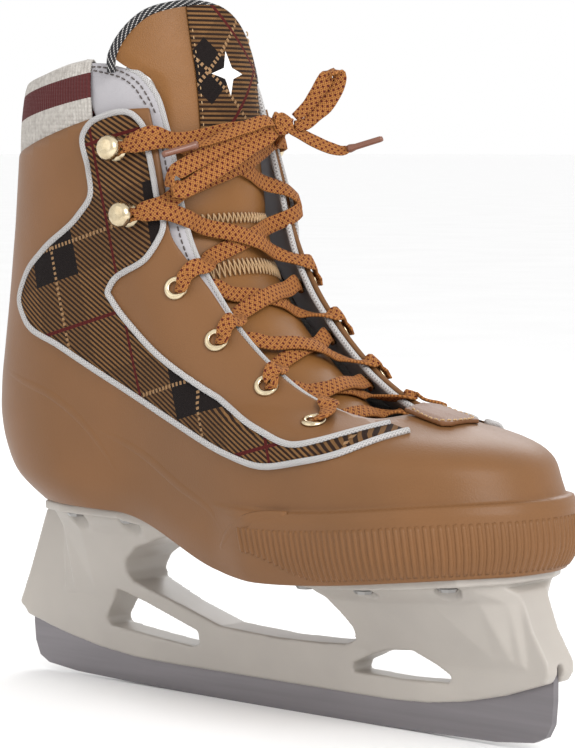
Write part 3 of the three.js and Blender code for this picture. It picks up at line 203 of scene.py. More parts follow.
def filled(outline, step, extra_rows=None):
    """Triangles that fill a closed outline, as points and faces."""
    low, high = outline.min(0), outline.max(0)
    rows = np.arange(low[1], high[1], step * 0.87) if extra_rows is None else extra_rows
    inner = []
    for k, y in enumerate(rows):
        xs = np.arange(low[0] + (k % 2) * step / 2, high[0], step)
        inner.append(np.column_stack([xs, np.full(len(xs), y)]))
    inner = np.vstack(inner)
    inner = inner[inside(inner, outline)]
    inner = inner[edge_distance(inner, outline) > step * 0.4]
    points = [Vector(p) for p in np.vstack([outline, inner])]
    loop = [list(range(len(outline)))]
    points, _, faces, *_ = delaunay_2d_cdt(points, [], loop, 1, 1e-6)
    return np.array([tuple(p) for p in points]), [tuple(f) for f in faces]


# ---------------------------------------------------------------- making pieces

def piece(name, body, slot, points, faces, uvs=None, replaces=(), look=None):
    """A mesh piece from points in millimetres, riding on a body. Its look is its slot's, or the one named."""
    mesh = bpy.data.meshes.new(name)
    mesh.from_pydata([tuple(p) for p in np.asarray(points, float) * MM], [], faces)
    mesh.validate()
    if uvs is not None:
        layer = mesh.uv_layers.new(name="UVMap")
        for loop in mesh.loops:
            layer.data[loop.index].uv = uvs[loop.vertex_index]
    mesh.polygons.foreach_set("use_smooth", [True] * len(mesh.polygons))
    thing = bpy.data.objects.new(name, mesh)
    bpy.context.scene.collection.objects.link(thing)
    mesh.materials.append(MATERIALS[look or slot])
    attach(thing, body)
    if replaces:
        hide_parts(*replaces)
    return thing


def modifier(thing, kind, **settings):
    made = thing.modifiers.new(kind.lower(), kind)
    for name, value in settings.items():
        setattr(made, name, value)
    return made


def baked(thing):
    """Replaces a piece's mesh by the one its modifiers give."""
    graph = bpy.context.evaluated_depsgraph_get()
    mesh = bpy.data.meshes.new_from_object(thing.evaluated_get(graph))
    thing.modifiers.clear()
    thing.data = mesh


def softened(name, node, body, slot, voxel, passes, factor=0.5):
    """A rounded, smooth piece in place of a CAD node, worked from that node's own mesh."""
    mesh = bpy.data.objects[node].data.copy()
    mesh.name = name
    mesh.materials.clear()
    mesh.materials.append(MATERIALS[slot])
    thing = bpy.data.objects.new(name, mesh)
    bpy.context.scene.collection.objects.link(thing)
    modifier(thing, "REMESH", mode="VOXEL", voxel_size=voxel * MM, use_smooth_shade=True)
    modifier(thing, "SMOOTH", iterations=passes, factor=factor)
    bpy.context.view_layer.update()
    baked(thing)
    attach(thing, body)
    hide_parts(node)


def grid_faces(rows, columns, wrap=False, flip=False):
    """Four-sided faces between rows of points."""
    faces = []
    for row in range(rows - 1):
        for k in range(columns if wrap else columns - 1):
            after = (k + 1) % columns
            face = (
                row * columns + k, row * columns + after,
                (row + 1) * columns + after, (row + 1) * columns + k,
            )
            faces.append(face[::-1] if flip else face)
    return faces


def sweep(line, normals, section, widths=None):
    """A section carried along a line. The section's first axis lies across, its second along the normal."""
    line = np.asarray(line, float)
    ahead = unit(np.gradient(line, axis=0))
    normals = np.asarray(normals, float)
    normals = unit(normals - ahead * np.sum(normals * ahead, axis=1, keepdims=True))
    across = np.cross(ahead, normals)
    widths = np.ones(len(line)) if widths is None else np.asarray(widths, float).reshape(-1)
    section = np.asarray(section, float)
    rings = (
        line[:, None]
        + across[:, None] * section[None, :, :1] * widths[:, None, None]
        + normals[:, None] * section[None, :, 1:]
    )
    count = len(section)
    faces = grid_faces(len(line), count, wrap=True)
    faces += [tuple(range(count))[::-1], tuple((len(line) - 1) * count + k for k in range(count))]
    share = np.linspace(0, 1, count)
    spread = section[:, 0] / np.abs(section[:, 0]).max() / 2 + 0.5
    uvs = [(spread[k] if count > 6 else share[k], along) for along in travelled(line) for k in range(count)]
    return rings.reshape(-1, 3), faces, uvs


def circle(radius, sides):
    turn = np.linspace(0, 2 * np.pi, sides, endpoint=False)
    return np.column_stack([radius * np.cos(turn), radius * np.sin(turn)])


def merged(parts):
    """Several (points, faces, uvs) as one."""
    points, faces, uvs, base = [], [], [], 0
    for part_points, part_faces, part_uvs in parts:
        points.append(part_points)
        faces += [tuple(base + k for k in face) for face in part_faces]
        uvs += part_uvs
        base += len(part_points)
    return np.vstack(points), faces, uvs


def joined(name, body, slot, parts, look=None):
    """One piece made of several swept parts."""
    points, faces, _ = merged(parts)
    piece(name, body, slot, points, faces, look=look)


def stitch_row(line, normals, length, gap, radius):
    """Short threads that lie along a line."""
    line, normals = np.asarray(line, float), np.asarray(normals, float)
    reached = travelled(line)
    at = lambda values, s: np.column_stack([np.interp(s, reached, values[:, k]) for k in range(3)])
    parts = []
    for start in np.arange(gap, reached[-1] - length, length + gap):
        s = start + np.array([0, 0.15, 0.5, 0.85, 1]) * length
        lift = np.array([-1.2, 0.2, 0.55, 0.2, -1.2]) * radius
        out = at(normals, s)
        parts.append(sweep(at(line, s) + unit(out) * lift[:, None], out, circle(radius, 6)))
    return merged(parts)


def lathe(profile, origin, axis, sides=32):
    """A turned shape: profile points are (radius, height) along the axis."""
    axis = unit(axis)
    helper = np.array([0, 0, 1.0]) if abs(axis[2]) < 0.9 else np.array([1.0, 0, 0])
    across = unit(np.cross(helper, axis))
    other = np.cross(axis, across)
    turn = np.linspace(0, 2 * np.pi, sides, endpoint=False)
    rings = [
        origin + axis * height
        + radius * (np.cos(turn)[:, None] * across + np.sin(turn)[:, None] * other)
        for radius, height in profile
    ]
    return np.vstack(rings), grid_faces(len(profile), sides, wrap=True)


# ---------------------------------------------------------------- the boot's skin

BOOT_HEIGHT = 206
HOLDER_HEIGHT = 59.5
HEEL_LIFT = 18
TOE_SPRING = 9
SHELL_WALL = 2.6
GAP = 0.35
LINER_OUT = -SHELL_WALL - GAP
FACING_WALL = 2.2
BUMPER_RELIEF = 2.6

# Each row: heel-back x, z, front x, z, flatness, rounding length over the top.
LEVELS = np.array([
    [-124, 77.5, 134, 68.4, 0, 46],
    [-138, 88, 138, 77, 0, 46],
    [-145, 100, 137, 88, 0, 46],
    [-147.5, 112, 133, 99, 0, 46],
    [-147, 122, 129, 107, 0.5, 46],
    [-146, 130, 119.5, 113.2, 0.8, 47],
    [-144.5, 138, 103, 117.8, 1, 50],
    [-143, 147, 79, 123.5, 1, 54],
    [-141.5, 157, 55, 131, 1, 56],
    [-140, 168, 34, 143, 1, 52],
    [-138.5, 180, 14, 159.5, 1, 42],
    [-137, 192, 0, 176, 1, 36],
    [-135.8, 205, -7, 192, 1, 36],
    [-134.5, 219, -10, 210, 1, 42],
    [-133, 235, -14, 231, 1, 50],
    [-131.5, 250, -17.5, 249, 1, 55],
    [-130, 266, -20, 266, 1, 58],
], float)
TOP_LEVEL = len(LEVELS) - 1
BUMPER_LEVEL = 2.45
TOE_LEVEL = 3.5
INSTEP_LEVEL = 6.5
ROLL_START = 4
TOE_ROUND = 68
HEEL_ROUND = 62
HEEL_HALF = 40
ANKLE_EXTRA = 2.5
BALL_HALF = 49
EDGE_ROUND = 13
EDGE_TUCK = 0.08


def sole_height(x):
    """The height of the boot's sole."""
    heel = HEEL_LIFT * smooth((18 - x) / 73)
    return HOLDER_HEIGHT + heel + TOE_SPRING * smooth((x - 30) / 115)


def level_curve(columns, u):
    """A smooth line through the levels' values."""
    points = LEVELS[:, columns]
    u = np.clip(u, 0, TOP_LEVEL - 1e-9)
    k = np.floor(u).astype(int)
    t = (u - k)[:, None]
    p0, p1 = points[np.maximum(k - 1, 0)], points[k]
    p2, p3 = points[k + 1], points[np.minimum(k + 2, TOP_LEVEL)]
    v0, v1 = (p2 - p0) / 2, (p3 - p1) / 2
    return (2 * p1 - 2 * p2 + v0 + v1) * t**3 + (3 * p2 - 3 * p1 - 2 * v0 - v1) * t**2 + v0 * t + p1


INSTEP_LEVELS = np.linspace(ROLL_START, TOP_LEVEL, 121)
INSTEP_LINE = level_curve([2, 3], INSTEP_LEVELS)
INSTEP_ROUNDING = np.interp(INSTEP_LEVELS, np.arange(TOP_LEVEL + 1), LEVELS[:, 5])


def instep_share(x, z):
    """How far points lie behind the instep, as a share of the rounding there."""
    best = np.full(len(x), np.inf)
    rounding = np.ones(len(x))
    for k in range(len(INSTEP_LINE) - 1):
        (ax, az), (bx, bz) = INSTEP_LINE[k], INSTEP_LINE[k + 1]
        share = clamp(((x - ax) * (bx - ax) + (z - az) * (bz - az)) / ((bx - ax) ** 2 + (bz - az) ** 2))
        distance = np.hypot(x - mix(ax, bx, share), z - mix(az, bz, share))
        nearer = distance < best
        best = np.where(nearer, distance, best)
        rounding = np.where(nearer, mix(INSTEP_ROUNDING[k], INSTEP_ROUNDING[k + 1], share), rounding)
    return best / rounding


def smooth_skin(around, u):
    """Points of the skin. Around the boot, 0 is the heel and 1 the toe on the right, negative on the left."""
    around, u = np.broadcast_arrays(np.asarray(around, float), np.asarray(u, float))
    around, u = np.atleast_1d(around), np.atleast_1d(u)
    share = (1 - np.cos(np.pi * around)) / 2
    back, front = level_curve([0, 1], u), level_curve([2, 3], u)
    x = mix(back[:, 0], front[:, 0], share)
    chord = mix(sole_height(back[:, 0]), sole_height(front[:, 0]), share)
    follow = 1 - np.interp(u, np.arange(TOP_LEVEL + 1), LEVELS[:, 4])
    z = mix(back[:, 1], front[:, 1], share) + follow * (sole_height(x) - chord)
    heel_half = HEEL_HALF + ANKLE_EXTRA * smooth((z - 95) / (0.27 * BOOT_HEIGHT))
    full = mix(heel_half, BALL_HALF, smooth((x + 50) / 90))
    tuck = 1 - EDGE_TUCK * (1 - clamp((z - sole_height(x)) / EDGE_ROUND)) ** 2
    roll = smooth((u - TOE_LEVEL) / (INSTEP_LEVEL - TOE_LEVEL))
    toe_share = (front[:, 0] - x) / TOE_ROUND
    front_share = mix(toe_share, instep_share(x, z), roll)
    half = full * tuck * round_off(front_share) * round_off((x - back[:, 0]) / HEEL_ROUND)
    half = np.where(np.abs(np.sin(np.pi * around)) < 1e-9, 0, half)
    return np.column_stack([x, -np.sign(around) * half, z])


def skin(around, u, offset=0.0):
    """Points at an offset from the skin, and the outward directions there."""
    around, u = np.broadcast_arrays(np.atleast_1d(around).astype(float), np.atleast_1d(u).astype(float))
    step = 0.004
    point = smooth_skin(around, u)
    sign = np.where(around < 0, -1.0, 1.0)
    near_end = np.abs(around) > 1 - 1.5 * step
    near_heel = np.abs(around) < 1.5 * step
    safe = sign * np.clip(np.abs(around), 1.5 * step, 1 - 1.5 * step)
    along = smooth_skin(safe + sign * step, u) - smooth_skin(safe - sign * step, u)
    upward = smooth_skin(safe, np.minimum(TOP_LEVEL, u + 5 * step))
    upward = upward - smooth_skin(safe, np.maximum(0, u - 5 * step))
    normal = unit(np.cross(along, upward)) * sign[:, None]
    normal[near_end | near_heel, 1] = 0
    normal = unit(normal)
    return point + normal * np.asarray(offset, float).reshape(-1, 1), normal


def locate(x, z):
    """The place around the right side and the level of points given in side view."""
    x, z = np.atleast_1d(x).astype(float), np.atleast_1d(z).astype(float)
    low, high = np.zeros(len(x)), np.full(len(x), float(TOP_LEVEL))
    for _ in range(36):
        u = (low + high) / 2
        around = around_at(x, u)
        under = smooth_skin(np.maximum(around, 1e-6), u)[:, 2] < z
        low, high = np.where(under, u, low), np.where(under, high, u)
    u = (low + high) / 2
    return around_at(x, u), u


def around_at(x, u):
    back, front = level_curve([0], u)[:, 0], level_curve([2], u)[:, 0]
    return np.arccos(1 - 2 * clamp((x - back) / (front - back))) / np.pi


def on_side(around, side):
    return around if side == "right" else -around


# ---------------------------------------------------------------- outlines in side view

THROAT_EDGE = [
    (-37, 238.3), (-31.6, 221.8), (-27, 206.2), (-22.5, 188.7), (-15.1, 178.2), (-8.4, 170.2),
    (4.5, 155.4), (23.2, 139.2), (37.6, 130.3), (49, 125.5), (61.9, 122.3), (72.4, 121.4), (77.5, 122.6),
]
SHELL_TOP = [(-134, 211), (-122, 218.4), (-102, 223.8), (-83, 228.6), (-66, 233), (-55, 235.5), (-44, 238)]
LINER_EDGE = [
    (-47.6, 254.1), (-43, 252.4), (-39.8, 249.4), (-36.5, 245.4), (-30.5, 231.6), (-23.1, 208.1),
    (-18.5, 192.5), (-12.8, 179.7), (-7, 171.3), (5.3, 156.2), (23.9, 139.9), (38.2, 131),
    (49.4, 126.2), (62.2, 123), (72.6, 122.1),
]
LINER_TOP = [(-133, 245), (-122, 247), (-96, 251.4), (-78.7, 254.6), (-67, 256.4)]
COLLAR_BACK = [(-60.1, 234), (-65, 241.7), (-69.3, 256.2)]
COLLAR_TOP = [(-67, 256.6), (-56, 256.2)]
FACING_UNDER = [(60, 114), (42, 113), (14, 128), (-22, 156), (-46, 190), (-60.1, 221)]
PANEL_OUTLINE = [
    (88.5, 117.5), (76.5, 110.7), (57.3, 106.1), (37.1, 103.2), (20.5, 106.1), (-9.8, 115.5), (-45.8, 129),
    (-79.9, 143.3), (-103.2, 153.2), (-108, 160), (-102.8, 170.8), (-89.5, 181.4), (-67.5, 195.9),
    (-60.5, 204), (-61.6, 213.9), (-64.6, 228), (-62, 231.5), (-54.7, 235.2), (-43, 236), (-38.5, 232),
    (-34.5, 221), (-29.5, 205), (-25.5, 190), (-29.4, 180.8), (-49.3, 168.5), (-51, 165.5), (-48.7, 162.6),
    (-32.9, 149.4), (-0.3, 131.4), (35.3, 116.6), (54.8, 112.1), (66, 114.5), (78, 119.6),
]
EYELET_PLACES = [(52.3, 120.1), (25.6, 132), (2.5, 148.6), (-17, 168.2)]
HOOK_PLACES = [(-39, 196), (-47.3, 221.8)]


def skin_line(places, step, side, offset=0.0):
    """A smooth line on the skin through side-view places, and the outward directions along it."""
    around, u = locate(*spline(places, step).T)
    return skin(on_side(around, side), u, offset)


def side_patch(outline, offset, step, side):
    """A patch of the skin inside a side-view outline."""
    points, faces = filled(outline, step)
    around, u = locate(points[:, 0], points[:, 1])
    around = np.clip(around, 1e-4, 1 - 1e-4)
    solid, normal = skin(on_side(around, side), u, offset)
    return solid, outward(solid, faces, normal)


def outward(points, faces, normals):
    """The faces turned so that they look along the normals."""
    turned = []
    for face in faces:
        a, b, c = (points[k] for k in face[:3])
        turned.append(face if np.dot(np.cross(b - a, c - a), normals[face[0]]) > 0 else face[::-1])
    return turned


# ---------------------------------------------------------------- materials

class Shader:
    """A material under construction, with short names for the nodes that the materials below use."""

    def __init__(self, name, roughness=0.6, metallic=0.0, **sockets):
        self.material = bpy.data.materials.new(name)
        self.material.use_nodes = True
        self.tree = self.material.node_tree
        self.surface = self.tree.nodes["Principled BSDF"]
        self.surface.inputs["Roughness"].default_value = roughness
        self.surface.inputs["Metallic"].default_value = metallic
        for socket, value in sockets.items():
            self.surface.inputs[socket.replace("_", " ")].default_value = value
        self.place = self.tree.nodes.new("ShaderNodeTexCoord").outputs["Object"]

    def node(self, kind, **settings):
        made = self.tree.nodes.new(kind)
        for name, value in settings.items():
            setattr(made, name, value)
        return made

    def link(self, source, target):
        if hasattr(source, "is_linked"):
            self.tree.links.new(source, target)
        else:
            target.default_value = source

    def math(self, operation, *values):
        made = self.node("ShaderNodeMath", operation=operation)
        for socket, value in zip(made.inputs, values):
            self.link(value, socket)
        return made.outputs[0]

    def sum_of(self, first, share, second, other_share):
        """Two values added in the given shares."""
        return self.math("MULTIPLY_ADD", first, share, self.math("MULTIPLY", second, other_share))

    def noise(self, scale, detail=3.0, vector=None, stretch=None):
        made = self.node("ShaderNodeTexNoise")
        made.inputs["Scale"].default_value = scale
        made.inputs["Detail"].default_value = detail
        source = vector or self.place
        if stretch:
            mapping = self.node("ShaderNodeMapping")
            mapping.inputs["Scale"].default_value = stretch
            self.link(source, mapping.inputs["Vector"])
            source = mapping.outputs[0]
        self.link(source, made.inputs["Vector"])
        return made.outputs["Fac"]

    def cells(self, scale, feature="F1"):
        made = self.node("ShaderNodeTexVoronoi", feature=feature)
        made.inputs["Scale"].default_value = scale
        self.link(self.place, made.inputs["Vector"])
        return made.outputs["Distance"]

    def axes(self, source=None):
        split = self.node("ShaderNodeSeparateXYZ")
        self.link(source or self.place, split.inputs[0])
        return split.outputs

    def ramp(self, factor, *stops):
        made = self.node("ShaderNodeValToRGB")
        elements = made.color_ramp.elements
        while len(elements) < len(stops):
            elements.new(0.5)
        for element, (place, color) in zip(elements, stops):
            element.position = place
            element.color = (*color, 1)
        self.link(factor, made.inputs["Fac"])
        return made.outputs["Color"]

    def over(self, factor, below, above):
        made = self.node("ShaderNodeMix", data_type="RGBA")
        self.link(factor, made.inputs["Factor"])
        for value, socket in ((below, made.inputs["A"]), (above, made.inputs["B"])):
            self.link((*value, 1) if isinstance(value, tuple) else value, socket)
        return made.outputs["Result"]

    def wave(self, value, pitch, shift=0.0):
        """0 to 1 and back over each pitch of a value."""
        turned = self.math("MULTIPLY_ADD", value, 2 * math.pi / pitch, shift)
        return self.math("MULTIPLY_ADD", self.math("SINE", turned), 0.5, 0.5)

    def band(self, value, pitch, width, shift=0.0):
        """1 inside a stripe of the given width at each pitch, 0 elsewhere."""
        moved = self.math("ADD", value, shift)
        folded = self.math("WRAP", moved, pitch, 0.0)
        return self.math("LESS_THAN", folded, width)

    def color(self, source):
        self.link((*source, 1) if isinstance(source, tuple) else source, self.surface.inputs["Base Color"])
        return self

    def rough(self, factor, low, high):
        made = self.node("ShaderNodeMapRange")
        made.inputs["To Min"].default_value = low
        made.inputs["To Max"].default_value = high
        self.link(factor, made.inputs["Value"])
        self.link(made.outputs[0], self.surface.inputs["Roughness"])
        return self

    def bump(self, height, depth, strength=1.0):
        made = self.node("ShaderNodeBump")
        made.inputs["Distance"].default_value = depth
        made.inputs["Strength"].default_value = strength
        self.link(height, made.inputs["Height"])
        if self.surface.inputs["Normal"].is_linked:
            self.link(self.surface.inputs["Normal"].links[0].from_socket, made.inputs["Normal"])
        self.link(made.outputs[0], self.surface.inputs["Normal"])
        return self


def plain_material(name, color, roughness):
    shader = Shader(name, roughness)
    shade = tuple(c * 0.97 for c in color)
    return shader.color(shader.ramp(shader.noise(6), (0.3, shade), (0.7, color))).material


def skin_material():
    shader = Shader("boot_skin", 0.45, Specular_IOR_Level=0.22)
    broad = shader.noise(14, 4)
    shader.color(shader.ramp(broad, (0.3, (0.160, 0.074, 0.028)), (0.7, (0.198, 0.090, 0.034))))
    shader.rough(shader.noise(60), 0.36, 0.48)
    shader.bump(shader.cells(1500), 0.00012, 0.35)
    return shader.bump(shader.noise(400), 0.0001, 0.3).material


def leather_material(name, dark, light, roughness, grain=900, depth=0.0002):
    shader = Shader(name, roughness, Specular_IOR_Level=0.25)
    shader.color(shader.ramp(shader.noise(25, 5), (0.3, dark), (0.7, light)))
    shader.rough(shader.noise(90), roughness - 0.06, roughness + 0.08)
    shader.bump(shader.cells(grain, "DISTANCE_TO_EDGE"), depth, 0.5)
    return shader.bump(shader.noise(180), depth, 0.4).material


def cloth_material(name, dark, light, pitch=0.0011, roughness=0.9):
    shader = Shader(name, roughness, Sheen_Weight=0.25, Sheen_Roughness=0.5)
    x, y, z = shader.axes()
    weave = shader.math("MULTIPLY", shader.wave(shader.math("ADD", x, y), pitch), shader.wave(z, pitch))
    # Partly the cloth's own random tone from the noise, partly painted shade: the weave term darkens the gaps
    # between threads.
    tone_and_weave_shade = shader.math("MULTIPLY_ADD", shader.noise(120, 4), 0.6, shader.math("MULTIPLY", weave, 0.4))
    shader.color(shader.ramp(tone_and_weave_shade, (0.2, dark), (0.8, light)))
    return shader.bump(weave, 0.0003, 0.6).material


def knit_material():
    shader = Shader("cuff_knit", 0.92, Sheen_Weight=0.08, Sheen_Roughness=0.5)
    x, y, z = shader.axes()
    stitch = shader.wave(z, 0.0016)
    yarn = shader.ramp(shader.noise(500), (0.3, (0.36, 0.33, 0.30)), (0.7, (0.52, 0.49, 0.45)))
    level = shader.math("MULTIPLY_ADD", x, -0.173, z)
    stripe = shader.math("MULTIPLY",
                         shader.math("GREATER_THAN", level, 0.2535), shader.math("LESS_THAN", level, 0.2635))
    shader.color(shader.over(stripe, yarn, (0.075, 0.008, 0.008)))
    return shader.bump(shader.math("ADD", stitch, shader.noise(900)), 0.0004, 0.6).material


def plaid_material(name, slant, along, upward, repeat, check, middle):
    """Dark checks with tan twill stripes and thin dark red lines, woven at a slant."""
    shader = Shader(name, 0.9, Specular_IOR_Level=0.15)
    axes = shader.axes()
    across = shader.sum_of(axes[along], math.cos(slant), axes[upward], math.sin(slant))
    down = shader.sum_of(axes[along], -math.sin(slant), axes[upward], math.cos(slant))
    twill = shader.band(shader.math("ADD", across, down), 0.0018 * math.sqrt(2), 0.0012)
    wide_a = shader.band(across, repeat, check, check / 2 - middle[0])
    wide_b = shader.band(down, repeat, check, check / 2 - middle[1])
    both = shader.math("MULTIPLY", wide_a, wide_b)
    either = shader.math("MAXIMUM", wide_a, wide_b)
    tan = shader.over(shader.noise(700), (0.15, 0.075, 0.028), (0.21, 0.108, 0.042))
    dark = shader.over(shader.noise(700), (0.006, 0.004, 0.004), (0.013, 0.009, 0.008))
    brown = (0.022, 0.011, 0.007)
    ground = shader.over(twill, brown, tan)
    checks = shader.over(shader.math("MULTIPLY", either, 0.25), ground, brown)
    checks = shader.over(both, checks, dark)
    dash = shader.band(down, 0.0021, 0.0011)
    dash_lines = shader.band(across, repeat, 0.0015, 0.00075 - middle[0])
    other_dash = shader.band(across, 0.0021, 0.0011)
    other_lines = shader.band(down, repeat, 0.0015, 0.00075 - middle[1])
    checks = shader.over(shader.math("MULTIPLY", dash, dash_lines), checks, (0.27, 0.16, 0.08))
    checks = shader.over(shader.math("MULTIPLY", other_dash, other_lines), checks, (0.27, 0.16, 0.08))
    red = shader.math("MAXIMUM",
                      shader.band(across, repeat, 0.0014, repeat / 2 - middle[0]),
                      shader.band(down, repeat, 0.0014, repeat / 2 - middle[1]))
    shader.color(shader.over(red, checks, (0.070, 0.009, 0.008)))
    fine = shader.wave(shader.math("ADD", across, down), 0.0011)
    return shader.bump(fine, 0.00015, 0.6).material


def lace_material():
    shader = Shader("lace_weave", 0.85, Specular_IOR_Level=0.2)
    uv = shader.node("ShaderNodeTexCoord").outputs["UV"]
    across, along, _ = shader.axes(uv)
    plait = shader.wave(shader.math("MULTIPLY_ADD", across, 7.0, along), 1.25)
    counter = shader.wave(shader.math("MULTIPLY_ADD", across, -7.0, along), 1.25)
    braid = shader.math("MAXIMUM", plait, counter)
    # The colour follows the braid's relief: the hollows between strands are painted darker as shade, and the
    # crests lighter.
    base = shader.ramp(braid, (0.35, (0.19, 0.070, 0.018)), (0.9, (0.37, 0.150, 0.042)))
    row = shader.math("MULTIPLY", across, 4.0)
    cell = shader.math("FLOOR", row)
    shift = shader.math("MULTIPLY_ADD", cell, 1.35, along)
    fleck = shader.band(shift, 2.7, 0.85)
    middle = shader.math("COMPARE", shader.math("FRACT", row), 0.5, 0.3)
    flecks = shader.math("MULTIPLY", fleck, middle)
    shader.color(shader.over(flecks, base, (0.09, 0.012, 0.008)))
    return shader.bump(braid, 0.0003, 0.8).material


def braid_material(name, dark, light):
    """A round braid; across goes once round the cord and along is in millimetres."""
    shader = Shader(name, 0.85, Sheen_Weight=0.2, Sheen_Roughness=0.5)
    uv = shader.node("ShaderNodeTexCoord").outputs["UV"]
    across, along, _ = shader.axes(uv)
    one = shader.wave(shader.math("MULTIPLY_ADD", across, 6.0, along), 1.5)
    two = shader.wave(shader.math("MULTIPLY_ADD", across, -6.0, along), 1.5)
    braid = shader.math("MAXIMUM", one, two)
    # The colour follows the braid's relief: the hollows between strands are painted darker as shade, and the
    # crests lighter.
    shader.color(shader.ramp(braid, (0.3, dark), (0.85, light)))
    return shader.bump(braid, 0.0003, 0.8).material


def plastic_material(name, dark, light, roughness):
    shader = Shader(name, roughness, Coat_Weight=0.1, Coat_Roughness=0.3)
    shader.color(shader.ramp(shader.noise(18, 4), (0.3, dark), (0.7, light)))
    shader.rough(shader.noise(70), roughness - 0.05, roughness + 0.07)
    return shader.bump(shader.cells(1800), 0.00008, 0.25).material


def steel_material(name, color, roughness, stretch):
    shader = Shader(name, roughness, 1.0)
    brushed = shader.noise(40, 6, stretch=stretch)
    dark = tuple(c * 0.8 for c in color)
    shader.color(shader.ramp(brushed, (0.3, dark), (0.7, color)))
    shader.rough(brushed, roughness - 0.08, roughness + 0.1)
    return shader.bump(brushed, 0.00005, 0.3).material


def brass_material():
    shader = Shader("eyelet_brass", 0.22, 1.0)
    shader.color(shader.ramp(shader.noise(300), (0.3, (0.52, 0.42, 0.27)), (0.7, (0.72, 0.61, 0.42))))
    return shader.rough(shader.noise(500), 0.16, 0.34).material


def binding_material():
    shader = Shader("binding_weave", 0.85)
    uv = shader.node("ShaderNodeTexCoord").outputs["UV"]
    across, along, _ = shader.axes(uv)
    row = shader.math("FLOOR", shader.math("MULTIPLY", across, 8.0))
    shift = shader.math("MULTIPLY_ADD", row, 0.9, along)
    dot = shader.math("MULTIPLY", shader.band(shift, 3.2, 0.9), shader.band(across, 0.125, 0.07))
    return shader.color(shader.over(dot, (0.008, 0.008, 0.010), (0.50, 0.48, 0.46))).material


def make_materials():
    return {
        "boot_skin": skin_material(),
        "grey_leather": leather_material(
            "grey_leather", (0.33, 0.315, 0.33), (0.40, 0.385, 0.40), 0.62, 1300),
        "plaid_side": plaid_material(
            "plaid_fabric", math.radians(15), 0, 2, repeat=0.068, check=0.027, middle=(0.0337, 0.1297)),
        "plaid_front": plaid_material(
            "plaid_patch", math.radians(45), 1, 2, repeat=0.044, check=0.019, middle=(0.172, 0.186)),
        # The piping's first colour is the painted shade in the braid's hollows. The second is its crests.
        "white_piping": braid_material("white_piping", (0.26, 0.25, 0.245), (0.50, 0.485, 0.475)),
        "liner_fabric": cloth_material("liner_fabric", (0.10, 0.095, 0.09), (0.17, 0.16, 0.15)),
        "footbed_foam": cloth_material("footbed_foam", (0.03, 0.028, 0.027), (0.07, 0.065, 0.06)),
        "cuff_knit": knit_material(),
        "tab_leather": leather_material("tab_leather", (0.11, 0.042, 0.013), (0.16, 0.064, 0.021), 0.45),
        "tongue_leather": leather_material(
            "tongue_leather", (0.165, 0.070, 0.018), (0.22, 0.094, 0.026), 0.45, 1100),
        "lining_fabric": cloth_material("lining_fabric", (0.48, 0.46, 0.43), (0.66, 0.64, 0.60)),
        "emblem_white": plastic_material("emblem_white", (0.78, 0.77, 0.75), (0.86, 0.85, 0.83), 0.5),
        "binding_weave": binding_material(),
        "lace_weave": lace_material(),
        "aglet_plastic": plastic_material("aglet_plastic", (0.13, 0.05, 0.03), (0.20, 0.08, 0.045), 0.3),
        "eyelet_brass": brass_material(),
        "holder_plastic": plastic_material(
            "holder_plastic", (0.34, 0.31, 0.28), (0.41, 0.375, 0.335), 0.42),
        "runner_steel": steel_material("runner_steel", (0.24, 0.225, 0.235), 0.42, (0.3, 1, 6)),
        "rivet_steel": steel_material("rivet_steel", (0.40, 0.39, 0.38), 0.35, (1, 1, 1)),
        "bolt_steel": steel_material("bolt_steel", (0.35, 0.34, 0.34), 0.35, (1, 1, 1)),
        "tan_thread": cloth_material("tan_thread", (0.45, 0.28, 0.13), (0.60, 0.40, 0.21), 0.0004),
        "dark_thread": cloth_material("dark_thread", (0.06, 0.045, 0.04), (0.12, 0.09, 0.08), 0.0004),
    }


MATERIALS = make_materials()


# ---------------------------------------------------------------- boot pieces

HOOK_FLATS = 12
EYELET_SIDES = 40
BUMPER_FROM_X = 8
BUMPER_FADE = 24
PIPING_RADIUS = 1.25
FACING_EDGE_RADIUS = 1.35
RIB_PITCH = 2.7
RIB_HEIGHT = 0.55
RIB_FROM_X = 30


def relief(around, u):
    """How far the toe bumper stands out of the skin: a step with a smooth ridge along its top."""
    fade = smooth((smooth_skin(around, u)[:, 0] - BUMPER_FROM_X) / BUMPER_FADE)
    step = 1 - smooth((u - BUMPER_LEVEL) / 0.12)
    ridge = 0.45 * np.exp(-(((u - BUMPER_LEVEL + 0.28) / 0.16) ** 2))
    return fade * (BUMPER_RELIEF * step + ridge)


